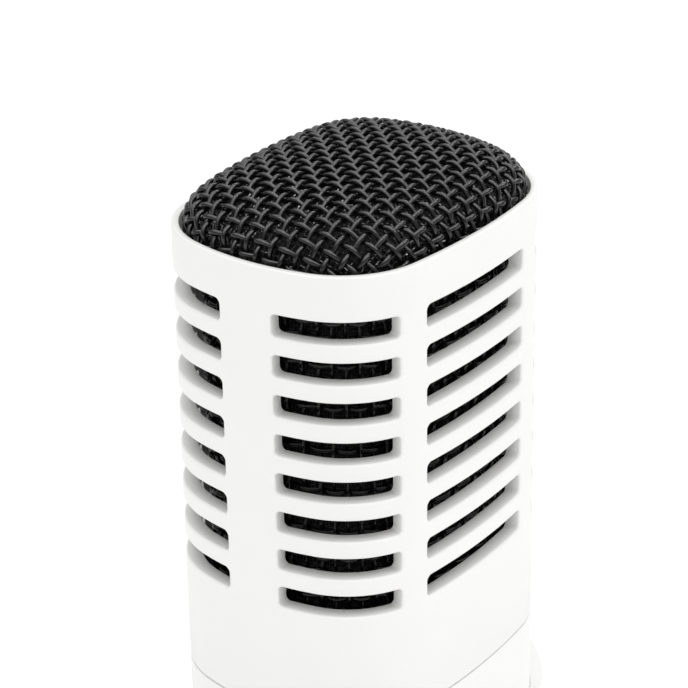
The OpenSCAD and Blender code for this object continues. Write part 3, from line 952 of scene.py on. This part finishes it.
@dataclass(frozen=True)
class WireWeave:
    """Plain-woven wire cloth.

    Attributes:
        pitch: Distance from one wire to the next.
        radius: Radius of a wire.
        lift: How far a wire rises and falls to pass over and under the others.
        sides: Sides of a wire's section.
        samples: Steps along a wire to one pitch.
    """

    pitch: float
    radius: float
    lift: float
    sides: int
    samples: int

    def wire(self, low: float, high: float, across: float, row: int, start: float, way: int, capped: bool = True) -> bpy.types.Object:
        """Models one wire of the flat cloth.

        Args:
            low: Where it starts.
            high: Where it ends.
            across: Its place across its own direction.
            row: Its number, which says whether it starts over or under.
            start: Place of the first crossing.
            way: 1 for a wire along X, -1 for a wire across it.
            capped: Whether its ends are closed.

        Returns:
            The wire; its mesh holds (x, y, height over the cloth).
        """
        steps = max(2, round((high - low) / self.pitch * self.samples))
        activate()
        bpy.ops.mesh.primitive_grid_add(x_subdivisions=steps, y_subdivisions=self.sides, size=1)
        piece = named("wire")

        def weave(grid: np.ndarray) -> np.ndarray:
            """Rolls the grid to a tube that waves over and under."""
            along = low + (grid[:, 0] + 0.5) * (high - low)
            angle = (grid[:, 1] + 0.5) * math.tau
            phase = (along - start) * math.pi / self.pitch
            sign = way * (-1) ** row
            slope = -sign * self.lift * math.pi / self.pitch * np.sin(phase)
            stretch = self.radius * np.sin(angle) / np.sqrt(1 + slope**2)
            t = along - stretch * slope
            s = across + self.radius * np.cos(angle)
            height = sign * self.lift * np.cos(phase) + stretch
            return np.stack([t, s, height] if way > 0 else [s, t, height], axis=1)

        wrap(piece, weave)
        with editing(piece):
            bpy.ops.mesh.select_all(action="SELECT")
            bpy.ops.mesh.remove_doubles(threshold=self.radius * 0.1)
            if capped:
                bpy.ops.mesh.select_non_manifold()
                bpy.ops.mesh.fill_holes(sides=self.sides)
        return piece


@dataclass(frozen=True)
class WireCrown:
    """Cloth pressed over the crown: distances along each meridian are kept from the flat cloth.

    Attributes:
        name: Name of the piece.
        weave: The cloth.
        inset: How far the middle of the cloth lies inside the outline.
        rise: Height of its middle over the rim.
        skirt: Length of the upright edge below the rim.
        node: CAD node that it replaces.
    """

    name: str
    weave: WireWeave
    inset: float
    rise: float
    skirt: float
    finish: Finish
    node: str
    fullness: float = 3.0
    shoulder: float = 2.0

    def meridians(self) -> tuple[np.ndarray, np.ndarray, np.ndarray]:
        """Tabulates the meridians.

        Returns:
            The plan radii of the meridians, the angles down them, and the arc length to each.
        """
        reach = np.linspace(16.0, 28.0, 49)
        down = np.linspace(0, math.pi / 2, 500)
        plan = np.sin(down) ** (2 / self.fullness)
        height = self.rise * np.cos(down) ** (2 / self.shoulder)
        steps = np.hypot(np.diff(plan)[None, :] * reach[:, None], np.diff(height)[None, :])
        length = np.concatenate([np.zeros((len(reach), 1)), np.cumsum(steps, axis=1)], axis=1)
        return reach, down, length

    def rim_reach(self, angle: np.ndarray) -> np.ndarray:
        """Gives the plan radius of the cloth's edge in a direction."""
        arcs = np.linspace(0, 4 * OUTLINE.quarter(), 1441)
        x, y = OUTLINE.plan(arcs, np.full_like(arcs, self.inset))
        around = np.unwrap(np.arctan2(y, x))
        return np.interp(np.mod(angle, math.tau), around[:-1], np.hypot(x, y)[:-1], period=math.tau)

    def surface(self, x: np.ndarray, y: np.ndarray, rim: float) -> np.ndarray:
        """Lays flat places of the cloth on the crown."""
        reach, down, length = self.meridians()
        r = np.hypot(x, y)
        angle = np.arctan2(y, x)
        edge = self.rim_reach(angle)
        spot = (edge - reach[0]) / (reach[1] - reach[0])
        first = np.clip(np.floor(spot).astype(int), 0, len(reach) - 2)
        share = spot - first
        bend = np.empty_like(r)
        full = np.empty_like(r)
        for row in np.unique(first):
            here = first == row
            below = np.interp(r[here], length[row], down)
            above = np.interp(r[here], length[row + 1], down)
            bend[here] = below * (1 - share[here]) + above * share[here]
            full[here] = length[row][-1] * (1 - share[here]) + length[row + 1][-1] * share[here]
        plan = edge * np.sin(bend) ** (2 / self.fullness)
        height = self.rise * np.cos(bend) ** (2 / self.shoulder) - np.maximum(r - full, 0)
        return np.stack([plan * np.cos(angle), plan * np.sin(angle), rim + height], axis=1)

    def lay(self, flat: np.ndarray, rim: float) -> np.ndarray:
        """Lays places of the flat cloth on the crown and lifts them along its normal."""
        step = 0.05
        x, y, lift = flat.T
        here = self.surface(x, y, rim)
        east = self.surface(x + step, y, rim) - self.surface(x - step, y, rim)
        north = self.surface(x, y + step, rim) - self.surface(x, y - step, rim)
        normal = np.cross(east, north)
        normal /= np.linalg.norm(normal, axis=1, keepdims=True)
        return here + normal * lift[:, None]

    def limit(self, along: bool, across: float) -> float:
        """Finds how far a wire of the flat cloth runs before it leaves the skirt.

        Args:
            along: Whether the wire runs along X.
            across: Its place across its own direction.

        Returns:
            The distance from the middle; 0 if it misses the crown.
        """
        out = np.linspace(0, 45, 901)
        side = np.full_like(out, across)
        x, y = (out, side) if along else (side, out)
        z = self.surface(x, y, 0.0)[:, 2]
        kept = out[z > -self.skirt]
        return float(kept[-1]) if len(kept) else 0.0

    def build(self) -> bpy.types.Object:
        """Builds the crown.

        Returns:
            The finished piece.
        """
        rim = high_corner("grille_housing").z
        pitch = self.weave.pitch
        wires = []
        for along in (True, False):
            for row in range(-int(40 / pitch), int(40 / pitch) + 1):
                across = (row + 0.5) * pitch
                end = self.limit(along, across)
                if end > pitch:
                    wires.append(self.weave.wire(-end, end, across, row, pitch / 2, 1 if along else -1))
        crown = joined(wires, self.name)
        wrap(crown, lambda flat: self.lay(flat, rim))
        clean(crown, 0.0001)
        return settle(crown, "head", self.finish, [self.node], 80)


@dataclass(frozen=True)
class WireSleeve:
    """Coarse cloth behind the slots: upright wires and closed hoops."""

    weave: WireWeave
    inset: float = 4.5
    uprights: int = 58

    def build(self) -> list[bpy.types.Object]:
        """Builds the uprights and the hoops.

        Returns:
            The two pieces.
        """
        low, high = low_corner("sleeve_mesh").z, high_corner("sleeve_mesh").z
        turn = 4 * OUTLINE.quarter()
        step = turn / self.uprights
        rows = int((high - low) / self.weave.pitch)
        first = low + (high - low - (rows - 1) * self.weave.pitch) / 2
        wide = WireWeave(step, self.weave.radius, self.weave.lift, self.weave.sides, self.weave.samples)
        uprights = [
            self.weave.wire(low, high, (i + 0.5) * step, i, first, -1) for i in range(self.uprights)
        ]
        hoops = [
            wide.wire(0, turn, first + i * self.weave.pitch, i, step / 2, 1, capped=False) for i in range(rows)
        ]
        made = []
        for wires, name, nodes in (
            (uprights, "sleeve_mesh_uprights", ["sleeve_mesh"]),
            (hoops, "sleeve_mesh_hoops", []),
        ):
            piece = joined(wires, name)
            wrap(piece, lambda f: OUTLINE.bend(np.stack([f[:, 0], self.inset - f[:, 2], f[:, 1]], axis=1)))
            clean(piece, 0.0005)
            made.append(settle(piece, "head", BLACK_WIRE, nodes, 80))
        return made


@dataclass(frozen=True)
class SleeveLiner:
    """Fine cloth inside the sleeve, with its own map in millimetres."""

    inset: float = 5.4
    thickness: float = 0.3

    def build(self) -> bpy.types.Object:
        """Builds the liner.

        Returns:
            The finished piece.
        """
        low, high = low_corner("sleeve_liner_mesh").z, high_corner("sleeve_liner_mesh").z
        turn = 4 * OUTLINE.quarter()
        strip = block("sleeve_liner_cloth", (0, self.inset, low), (turn, self.inset + self.thickness, high))
        with editing(strip, "FACE"):
            pick(strip, "faces", lambda p: p.x < 0.01 or p.x > turn - 0.01)
            bpy.ops.mesh.delete(type="FACE")
        cut_across(strip, OUTLINE.stations()[1:])
        layer = strip.data.uv_layers.active or strip.data.uv_layers.new(name="cloth")
        for loop in strip.data.loops:
            place = strip.data.vertices[loop.vertex_index].co
            layer.data[loop.index].uv = (place.x, place.z)
        wrap(strip, OUTLINE.bend)
        clean(strip)
        return settle(strip, "head", FINE_CLOTH, ["sleeve_liner_mesh"])


@dataclass(frozen=True)
class Hole:
    """A round opening in the flat wall, flared at the outside.

    Attributes:
        arc: Where its middle is along the wall.
        height: Height of its middle.
        radius: Its radius.
        depth: How deep it goes; more than the wall goes through.
        flare: Radius of its rounded outer edge.
        stretch: Extra length along the wall, for a rounded slot.
    """

    arc: float
    height: float
    radius: float
    depth: float
    flare: float
    stretch: float = 0.0

    def tool(self) -> bpy.types.Object:
        """Models the tool that cuts it.

        Returns:
            The tool, on the flat strip.
        """
        steps = 5
        section = [(self.radius, -self.depth)]
        for k in range(steps + 1):
            turn = math.pi / 2 * k / steps
            section.append((self.radius + self.flare * (1 - math.cos(turn)), self.flare * (math.sin(turn) - 1)))
        section.append((self.radius + self.flare, 2.0))
        tool = turned("tool", section, sides=64)
        put(tool, Facing.FRONT)
        wrap(tool, lambda p: p + np.sign(p[:, :1]) * np.array([[self.stretch / 2, 0, 0]]) + [[self.arc, 0, self.height]])
        return tool


@dataclass(frozen=True)
class LowerHousing:
    """Lower housing: a wrapped wall with the controls' openings, and a boss on each side."""

    wall: float = 2.4
    boss_radius: float = 9.0
    boss_face: float = 27.0
    boss_bore: float = 3.65
    boss_root: float = 20.5
    pivot: float = 70.0
    spare: float = 2.0
    sockets: float = 7.5

    def holes(self) -> list[Hole]:
        """Lists the openings of the front and the back."""
        quarter = OUTLINE.quarter()
        front, back = 3 * quarter, quarter
        return [
            Hole(front, 59.0, 9.2, 0.9, 0.35),
            Hole(front, 59.0, 3.6, 4.0, 0.0),
            Hole(front, 82.0, 4.85, 4.0, 0.35),
            Hole(front, 72.4, 1.65, 4.0, 0.25),
            Hole(back + self.sockets, 48.2, 2.0, 4.0, 0.3, 5.7),
            Hole(back - self.sockets, 49.1, 3.2, 4.0, 0.3),
        ]

    def build(self) -> bpy.types.Object:
        """Builds the housing.

        Returns:
            The finished piece.
        """
        low, high = low_corner("lower_housing").z, high_corner("lower_housing").z
        turn, seam = 4 * OUTLINE.quarter(), 0.3 * OUTLINE.quarter()
        ends = (seam - self.spare, seam + turn + self.spare)
        shell = block("lower_housing_shell", (ends[0], 0, low), (ends[1], self.wall, high))
        for y, z, size in ((0, low, 1.2), (self.wall, low, 0.4), (0, high, 0.15), (self.wall, high, 0.2)):
            with editing(shell, "EDGE"):
                pick(shell, "edges", lambda p, y=y, z=z: abs(p.y - y) < 0.01 and abs(p.z - z) < 0.01)
                bpy.ops.mesh.bevel(offset=size, segments=5, profile=0.5, clamp_overlap=False)
        cut_across(shell, (seam, seam + turn))
        for hole in self.holes():
            carve(shell, hole.tool())
        OUTLINE.close(shell, seam)
        face = self.boss_face
        section = rounded(
            [(self.boss_radius, self.boss_root), (self.boss_radius, face), (self.boss_bore - 1, face)], [0, 0.5, 0]
        )
        for facing in (Facing.LEFT, Facing.RIGHT):
            carve(shell, put(turned("boss", section), facing, (0, 0, self.pivot)), "UNION")
        bore = turned("bore", [(self.boss_bore, -face - 1), (self.boss_bore, face + 1)], sides=64)
        carve(shell, put(bore, Facing.RIGHT, (0, 0, self.pivot)))
        clean(shell, 0.0004)
        return settle(shell, "head", WHITE_SHELL, ["lower_housing"])


@dataclass(frozen=True)
class BottomCap:
    """Recessed floor of the head with four sunk screws."""

    inset: float = 2.5
    screw_x: float = 18.5
    screw_y: float = 8.0
    sink: float = 2.6
    bore: float = 1.45
    sink_depth: float = 1.4

    def build(self) -> bpy.types.Object:
        """Builds the cap.

        Returns:
            The finished piece.
        """
        low, high = low_corner("bottom_cap").z, high_corner("bottom_cap").z
        cap = OUTLINE.sweep(
            "bottom_cap_floor",
            [(self.inset + 0.4, low), (self.inset + 0.12, low + 0.12), (self.inset, low + 0.4), (self.inset, high)],
            ring=False,
        )
        for x in (-self.screw_x, self.screw_x):
            for y in (-self.screw_y, self.screw_y):
                section = [
                    (self.sink + 0.3, -1.0), (self.sink + 0.3, 0.0), (self.sink, 0.3),
                    (self.sink, self.sink_depth), (self.bore, self.sink_depth), (self.bore, high - low + 1),
                ]
                carve(cap, put(turned("sink", section, sides=48), Facing.UP, (x, y, low)))
        return settle(cap, "head", BLACK_PLASTIC, ["bottom_cap"])


@dataclass(frozen=True)
class GainKnob:
    """Fluted knob with a rounded face, a shallow dish and a painted pointer."""

    radius: float = 8.6
    front: float = 8.0
    height: float = 59.0
    back: float = -20.45
    flutes: int = 24
    flute_depth: float = 0.42
    bore: float = 3.05

    def build(self) -> list[bpy.types.Object]:
        """Builds the knob and its pointer.

        Returns:
            The two pieces.
        """
        to_flute = 12
        sides = self.flutes * to_flute
        section = rounded(
            [(self.bore, 0), (self.radius - 0.5, 0), (self.radius, 0.5), (self.radius, self.front - 0.35),
             (self.radius - 1.5, self.front), (self.radius - 2.2, self.front - 0.4), (self.bore, self.front - 0.4)],
            [0, 0, 0, 1.1, 0.3, 0.25, 0],
        )
        section = [*section[:2], *[(self.radius, h) for h in (0.5, 0.9, 1.2)], *section[3:]]

        def place(station: int, radius: float, height: float) -> tuple[float, float, float]:
            """Sinks the flutes into the side, fading out towards both ends."""
            angle = math.tau * station / sides
            share = (station % to_flute) / to_flute - 0.5
            groove = max(0.0, math.cos(share * math.pi * 1.5)) ** 0.8
            rim = max(0.0, min(1.0, (radius - self.radius + 1.0) / 1.0))
            fade = max(0.0, min(1.0, (height - 0.5) / 0.7))
            r = radius - self.flute_depth * groove * rim * fade
            return r * math.cos(angle), r * math.sin(angle), height

        knob = swept("gain_knob_cap", sides, place, section, True)
        face = self.front - 0.4
        slot = block("slot", (-0.55, 3.4, face - 0.35), (0.55, 7.3, face + 2))
        carve(knob, slot)
        cover = turned("cover", [(self.bore + 0.02, face - 1.2), (self.bore + 0.02, face)], sides=48)
        carve(knob, cover, "UNION")
        pointer = block("gain_knob_pointer", (-0.5, 3.45, face - 0.34), (0.5, 6.9, face - 0.02))
        modify(pointer, "BEVEL", width=0.12, segments=3)
        at = (0, self.back, self.height)
        made = []
        for piece, finish, nodes in ((knob, BLACK_PLASTIC, ["gain_knob"]), (pointer, WHITE_PAINT, [])):
            made.append(settle(put(piece, Facing.FRONT, at), "gain_knob", finish, nodes, 30))
        return made


@dataclass(frozen=True)
class FrontDetails:
    """Mute button, status light and the rubber pads and caps of the tilt joint."""

    button_height: float = 82.0
    button_radius: float = 4.5
    light_height: float = 72.4
    light_radius: float = 1.55
    pivot: float = 70.0

    def button(self) -> bpy.types.Object:
        """Builds the mute button with a dished face, a flange and a stem."""
        r = self.button_radius
        section = [(2.0, -4.8), (2.0, -4.0), (5.5, -4.0), (5.5, -3.1), (r, -3.1), (r, 0.1)]
        section += rounded([(r, 0.1), (r, 0.7), (0, 0.7)], [0, 0.6, 0])[1:-1]
        section += [(r * k, 0.7 - 0.28 * (1 - k * k)) for k in (0.78, 0.6, 0.4, 0.2, 0.05)]
        piece = turned("mute_button_cap", section)
        put(piece, Facing.FRONT, (0, low_corner("mute_button").y + 0.7, self.button_height))
        return settle(piece, "mute_button", BLACK_PLASTIC, ["mute_button"])

    def light(self) -> bpy.types.Object:
        """Builds the status light's domed lens."""
        r = self.light_radius
        back = low_corner("status_lens").y
        depth = high_corner("status_lens").y - back
        section = [(2.3, -depth), (2.3, -3.0), (r, -2.9), (r, -0.25)]
        section += [(r * math.cos(a), -0.25 + 0.25 * math.sin(a)) for a in (0.3, 0.6, 0.9, 1.2, 1.5)]
        piece = put(turned("status_lens_dome", section, sides=48), Facing.FRONT, (0, back, self.light_height))
        return settle(piece, "head", LENS, ["status_lens"])

    def pads_and_caps(self) -> list[bpy.types.Object]:
        """Builds a pad and a cap on each side."""
        made = []
        for facing, side in ((Facing.LEFT, "left"), (Facing.RIGHT, "right")):
            spans = {n: (low_corner(f"{n}_{side}").x, high_corner(f"{n}_{side}").x) for n in ("pivot_pad", "pivot_cap")}
            near, far = sorted(abs(v) for v in spans["pivot_pad"])
            pad = turned(
                f"pivot_pad_{side}_ring",
                rounded([(4.1, near), (8.5, near), (8.5, far), (4.1, far)], [0.1, 0.35, 0.35, 0.1]),
                ring=True,
            )
            made.append(settle(put(pad, facing, (0, 0, self.pivot)), "head", BLACK_RUBBER, [f"pivot_pad_{side}"]))
            near, far = sorted(abs(v) for v in spans["pivot_cap"])
            outer = [(7.9, near), (9.0, near), (9.0, far), (6.9, far), (6.5, far - 0.35), (0.05, far - 0.35)]
            section = rounded(outer, [0, 0.15, 1.1, 0.2, 0.15, 0])
            section += [(0.05, near + 2.6), (7.9, near + 2.6)]
            cap = turned(f"pivot_cap_{side}_cover", section, ring=True)
            made.append(settle(put(cap, facing, (0, 0, self.pivot)), "head", WHITE_SHELL, [f"pivot_cap_{side}"]))
        return made

    def build(self) -> list[bpy.types.Object]:
        """Builds them all.

        Returns:
            The finished pieces.
        """
        return [self.button(), self.light(), *self.pads_and_caps()]


@dataclass(frozen=True)
class Yoke:
    """Bar with round ends, drilled flat and then bent to a U."""

    arm_x: float = 29.6
    arm_thickness: float = 4.2
    bar_thickness: float = 4.5
    width: float = 18.0
    under: float = 24.5
    bend_radius: float = 14.0
    pivot: float = 70.0
    bush: float = 5.55
    edge: float = 0.9

    def runs(self) -> tuple[float, float]:
        """Gives the outer length from the middle to the bend, and to the end of the bend."""
        flat = self.arm_x + self.arm_thickness - self.bend_radius
        return flat, flat + self.bend_radius * math.pi / 2

    def fold(self, flat: np.ndarray) -> np.ndarray:
        """Bends flat places (length, width, depth from the outside) up to the U."""
        start, end = self.runs()
        length = np.abs(flat[:, 0])
        bend = np.clip((length - start) / self.bend_radius, 0, math.pi / 2)
        share = bend / (math.pi / 2)
        depth = flat[:, 2] * (self.bar_thickness * (1 - share) + self.arm_thickness * share) / self.bar_thickness
        radius = self.bend_radius - depth
        x = np.minimum(length, start) + radius * np.sin(bend)
        z = self.under + self.bend_radius - radius * np.cos(bend) + np.maximum(length - end, 0)
        return np.stack([np.sign(flat[:, 0]) * x, flat[:, 1], z], axis=1)

    def build(self) -> bpy.types.Object:
        """Builds the yoke.

        Returns:
            The finished piece.
        """
        start, end = self.runs()
        eye = end + self.pivot - self.under - self.bend_radius
        half, thick = self.width / 2, self.bar_thickness
        tip = eye + half
        bar = block("yoke_bar", (-tip, -half, 0), (tip, half, thick))
        with editing(bar, "EDGE"):
            pick(bar, "edges", lambda p: abs(p.x) > tip - 0.01 and abs(p.y) > half - 0.01)
            bpy.ops.mesh.bevel(offset=half - 0.0005, segments=20, profile=0.5, clamp_overlap=False)
        clean(bar)
        with editing(bar, "EDGE"):
            bpy.ops.mesh.edges_select_sharp(sharpness=math.radians(60))
            bpy.ops.mesh.bevel(offset=self.edge, segments=5, profile=0.5, clamp_overlap=False)
        tools = [(self.bush, eye, -1.0, 0.0), (self.bush, -eye, -1.0, 0.0)]
        for radius, x, low, _ in tools:
            flare = [(radius + 0.4, -1), (radius + 0.4, 0), (radius + 0.12, 0.12), (radius, 0.4)]
            flare += [(radius, thick - 0.4), (radius + 0.12, thick - 0.12), (radius + 0.4, thick), (radius + 0.4, thick + 1)]
            carve(bar, put(turned("eye", flare, sides=64), Facing.UP, (x, 0, 0)))
        seat = [(5.05, -1), (5.05, 2.0), (2.3, 2.0), (2.3, thick - 2.1), (4.5, thick), (4.5, thick + 1)]
        carve(bar, turned("seat", seat, sides=64))
        steps = 14
        bends = [start + (end - start) * k / steps for k in range(steps + 1)]
        cut_across(bar, [*(-b for b in reversed(bends)), *bends])
        wrap(bar, self.fold)
        clean(bar)
        return settle(bar, "yoke", WHITE_PAINT, ["yoke"])


@dataclass(frozen=True)
class Stand:
    """Turned parts under the yoke: post, swivel bush, base cover and foot ring."""

    base_radius: float = 52.0
    top: float = 15.0
    screws: float = 34.0

    def post(self) -> bpy.types.Object:
        """Builds the post with a decorative groove."""
        low, high = low_corner("yoke_post").z, high_corner("yoke_post").z
        corners = [
            (2.0, low), (5.0, low), (5.0, 16.1), (9.0, 16.1), (9.0, 18.2), (8.5, 18.5), (8.5, 18.9), (9.0, 19.2),
            (9.0, 24.45), (5.0, 24.45), (5.0, high), (2.0, high),
        ]
        section = rounded(corners, [0, 0.3, 0, 0.5, 0.12, 0.12, 0.12, 0.12, 0.7, 0, 0.2, 0])
        return settle(turned("yoke_post_turned", section, ring=True), "yoke", BRIGHT_STEEL, ["yoke_post"])

    def bush(self) -> bpy.types.Object:
        """Builds the swivel bush with its rounded flange."""
        low, high = low_corner("swivel_bush").z, high_corner("swivel_bush").z
        corners = [(5.05, low), (6.95, low), (6.95, 15.02), (10.5, 15.02), (10.5, high), (5.05, high)]
        section = rounded(corners, [0, 0.3, 0, 0.15, 0.4, 0.2])
        return settle(turned("swivel_bush_flange", section, ring=True), "base", NYLON, ["swivel_bush"])

    def cover(self) -> bpy.types.Object:
        """Builds the base cover: a shallow cone with a full edge and a small step at the foot."""
        r = self.base_radius
        corners = [
            (r - 2.4, 1.4), (r - 0.7, 1.4), (r - 0.7, 2.3), (r, 2.6), (r, 13.0), (11.6, 15.0), (7.0, 15.0), (7.0, 6.6),
            (11.0, 6.6), (11.0, 12.8), (r - 6.2, 10.8), (r - 2.4, 7.0),
        ]
        section = rounded(corners, [0.2, 0.25, 0, 0.3, 5.6, 30.0, 0.25, 0, 0, 0, 0, 0], 9)
        cover = turned("base_cover_shell", section, ring=True, sides=192)
        for k in range(4):
            angle = math.pi / 4 + math.pi / 2 * k
            post = [(1.25, 3.3), (4.0, 3.3), (4.0, 12.4), (1.25, 12.4)]
            at = (self.screws * math.cos(angle), self.screws * math.sin(angle), 0)
            carve(cover, put(turned("screw post", post, ring=True, sides=48), Facing.UP, at), "UNION")
        return settle(cover, "base", WHITE_SHELL, ["base_cover"], 30)

    def feet(self) -> bpy.types.Object:
        """Builds the rubber ring with two grooves round its tread."""
        low, high = low_corner("foot_ring").z, high_corner("foot_ring").z
        corners = [(40.0, high), (40.0, low)]
        for middle in (42.7, 45.3):
            corners += [(middle - 0.6, low), (middle - 0.3, low + 0.5), (middle + 0.3, low + 0.5), (middle + 0.6, low)]
        corners += [(48.0, low), (48.0, high)]
        section = rounded(corners, [0, 0.4, *[0.15] * 8, 0.4, 0])
        return settle(turned("foot_ring_tread", section, ring=True, sides=160), "base", BLACK_RUBBER, ["foot_ring"])

    def build(self) -> list[bpy.types.Object]:
        """Builds them all.

        Returns:
            The finished pieces.
        """
        return [self.post(), self.bush(), self.cover(), self.feet()]


# ---------------------------------------------------------------------------
# CAD parts that keep their shape
# ---------------------------------------------------------------------------


KEPT: dict[Finish, tuple[str, ...]] = {
    FOAM: ("foam_liner",),
    BLACK_PLASTIC: ("mesh_clamp", "capsule_cup", "phones_socket", "mute_switch", "board_parts"),
    GREY_PLASTIC: ("chassis", "capsule_bracket"),
    BLACK_RUBBER: ("capsule_cradle",),
    ALUMINIUM: ("capsule_ring",),
    GOLD_FILM: ("capsule_diaphragm",),
    BRASS: ("capsule_backplate", "pivot_insert_left", "pivot_insert_right"),
    BRIGHT_STEEL: ("pivot_screw_left", "pivot_screw_right", "encoder_shaft", "usb_socket"),
    ZINC_STEEL: (
        "bracket_screws", "bottom_screws", "board_screws", "post_screw", "swivel_washer", "swivel_screw",
        "base_plate", "base_screws", "gain_encoder",
    ),
    NYLON: ("arm_bush_left", "arm_bush_right"),
    IRON: ("base_weight",),
    BOARD: ("control_board", "main_board"),
}


def dress_kept() -> None:
    """Gives every CAD node that stays its finish."""
    for finish, nodes in KEPT.items():
        for name in nodes:
            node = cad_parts[name]
            for slot in node.material_slots:
                slot.material = finish.material()
            if not node.material_slots:
                node.data.materials.append(finish.material())
            log.info("%s keeps its CAD shape in %s", name, finish.name)


# ---------------------------------------------------------------------------
# Studio
# ---------------------------------------------------------------------------


@dataclass(frozen=True)
class Studio:
    """Pale floor, soft lights and the camera.

    Attributes:
        azimuth: Direction that the camera looks along, in degrees.
        elevation: How far it looks down, in degrees.
        roll: How far it leans, in degrees.
        distance: From the rim's middle to the camera, in millimetres.
        across: How far the rim's middle stands right of the view's middle, in millimetres.
        above: How far it stands above the view's middle, in millimetres.
        lens: Focal length on a 36 mm sensor.
    """

    azimuth: float = -53.466
    elevation: float = 25.282
    roll: float = -0.937
    distance: float = 368.1
    across: float = 1.823
    above: float = 20.181
    lens: float = 137.0

    def camera(self) -> bpy.types.Object:
        """Adds the camera."""
        a, e, r = (math.radians(v) for v in (self.azimuth, self.elevation, self.roll))
        ahead = Vector((-math.sin(a) * math.cos(e), math.cos(a) * math.cos(e), -math.sin(e)))
        right = Vector((math.cos(a), math.sin(a), 0))
        up = right.cross(ahead)
        level, lean = right * math.cos(r) + up * math.sin(r), up * math.cos(r) - right * math.sin(r)
        rim = Vector((0, 0, high_corner("grille_housing").z))
        bpy.ops.object.camera_add()
        camera = bpy.context.active_object
        place = (rim - ahead * self.distance - level * self.across - lean * self.above) * MM
        turn = Matrix((level, lean, -ahead)).transposed().to_4x4()
        camera.matrix_world = Matrix.Translation(place) @ turn
        camera.data.lens = self.lens
        camera.data.sensor_width = 36
        camera.data.clip_start = 0.01
        bpy.context.scene.camera = camera
        return camera

    def lamp(self, name: str, azimuth: float, elevation: float, size: float, power: float) -> None:
        """Adds a large soft light aimed at the head.

        Args:
            name: Name of the light.
            azimuth: Side that it stands on, in degrees; 0 is the front.
            elevation: Height over the horizon, in degrees.
            size: Side of its square face in metres.
            power: Power in watts.
        """
        a, e = math.radians(azimuth), math.radians(elevation)
        away = Vector((math.sin(a) * math.cos(e), -math.cos(a) * math.cos(e), math.sin(e)))
        bpy.ops.object.light_add(type="AREA", location=away * 1.1 + Vector((0, 0, 0.1)))
        light = bpy.context.active_object
        light.name = name
        light.rotation_euler = away.to_track_quat("Z", "Y").to_euler()
        light.data.size = size
        light.data.energy = power

    def surroundings(self) -> None:
        """Adds a white room; reflections in it see a bright ceiling over darker walls."""
        world = bpy.data.worlds.new("studio")
        bpy.context.scene.world = world
        world.use_nodes = True
        world.node_tree.nodes.clear()
        graph = Graph(world.node_tree)
        sky = graph.add("SeparateXYZ", {0: graph.add("TexCoord").outputs["Generated"]})
        height = graph.add("MapRange", {"Value": sky.outputs["Z"], "From Min": 0.45, "From Max": 0.85, "To Min": 0.35, "To Max": 2.2})
        glossy = graph.add("LightPath").outputs["Is Glossy Ray"]
        extra = graph.math("MULTIPLY", glossy, graph.math("SUBTRACT", height.outputs["Result"], 1.0))
        light = graph.add("Background", {"Color": (1, 1, 1, 1), "Strength": graph.math("ADD", extra, 1.0)})
        graph.tree.links.new(light.outputs[0], graph.add("OutputWorld").inputs["Surface"])

    def build(self) -> None:
        """Sets up the floor, the lights, the surroundings and the camera."""
        activate()
        bpy.ops.mesh.primitive_plane_add(size=8)
        floor = bpy.context.active_object
        floor.name = "studio_floor"
        paper = Finish("pale paper floor", "white_housing", grey(0.93), grey(0.925), (0.7, 0.8), grains=900, depth=0.02)
        floor.data.materials.append(paper.material())
        self.surroundings()
        self.lamp("key softbox", 30, 50, 0.3, 1.2)
        self.lamp("side softbox", 110, 35, 0.3, 0.8)
        self.lamp("top softbox", -50, 75, 0.3, 1.0)
        self.camera()
        bpy.context.scene.view_settings.view_transform = "Standard"


# ---------------------------------------------------------------------------
# Assembly
# ---------------------------------------------------------------------------


def main() -> None:
    """Builds the sub-assemblies in order and reports each piece."""
    logging.basicConfig(level=logging.INFO, format="%(name)s: %(message)s")
    coarse = WireWeave(2.1, 0.35, 0.35, 10, 8)
    behind = WireWeave(2.14, 0.35, 0.34, 8, 6)
    fine = WireWeave(0.85, 0.12, 0.11, 4, 3)
    assemblies = (
        GrilleHousing(),
        WireCrown("dome_mesh_wires", coarse, 2.15, 6.26, 1.8, BLACK_WIRE, "dome_mesh"),
        WireCrown("dome_liner_wires", fine, 3.25, 5.2, 1.2, FINE_WIRE, "dome_liner_mesh"),
        WireSleeve(behind),
        SleeveLiner(),
        LowerHousing(),
        BottomCap(),
        GainKnob(),
        FrontDetails(),
        Yoke(),
        Stand(),
    )
    for assembly in assemblies:
        made = assembly.build()
        for piece in made if isinstance(made, list) else [made]:
            triangles = sum(len(p.vertices) - 2 for p in piece.data.polygons)
            log.info("%s: %d triangles", piece.name, triangles)
    dress_kept()
    Studio().build()
    bpy.context.view_layer.update()


if __name__ == "__main__":
    main()
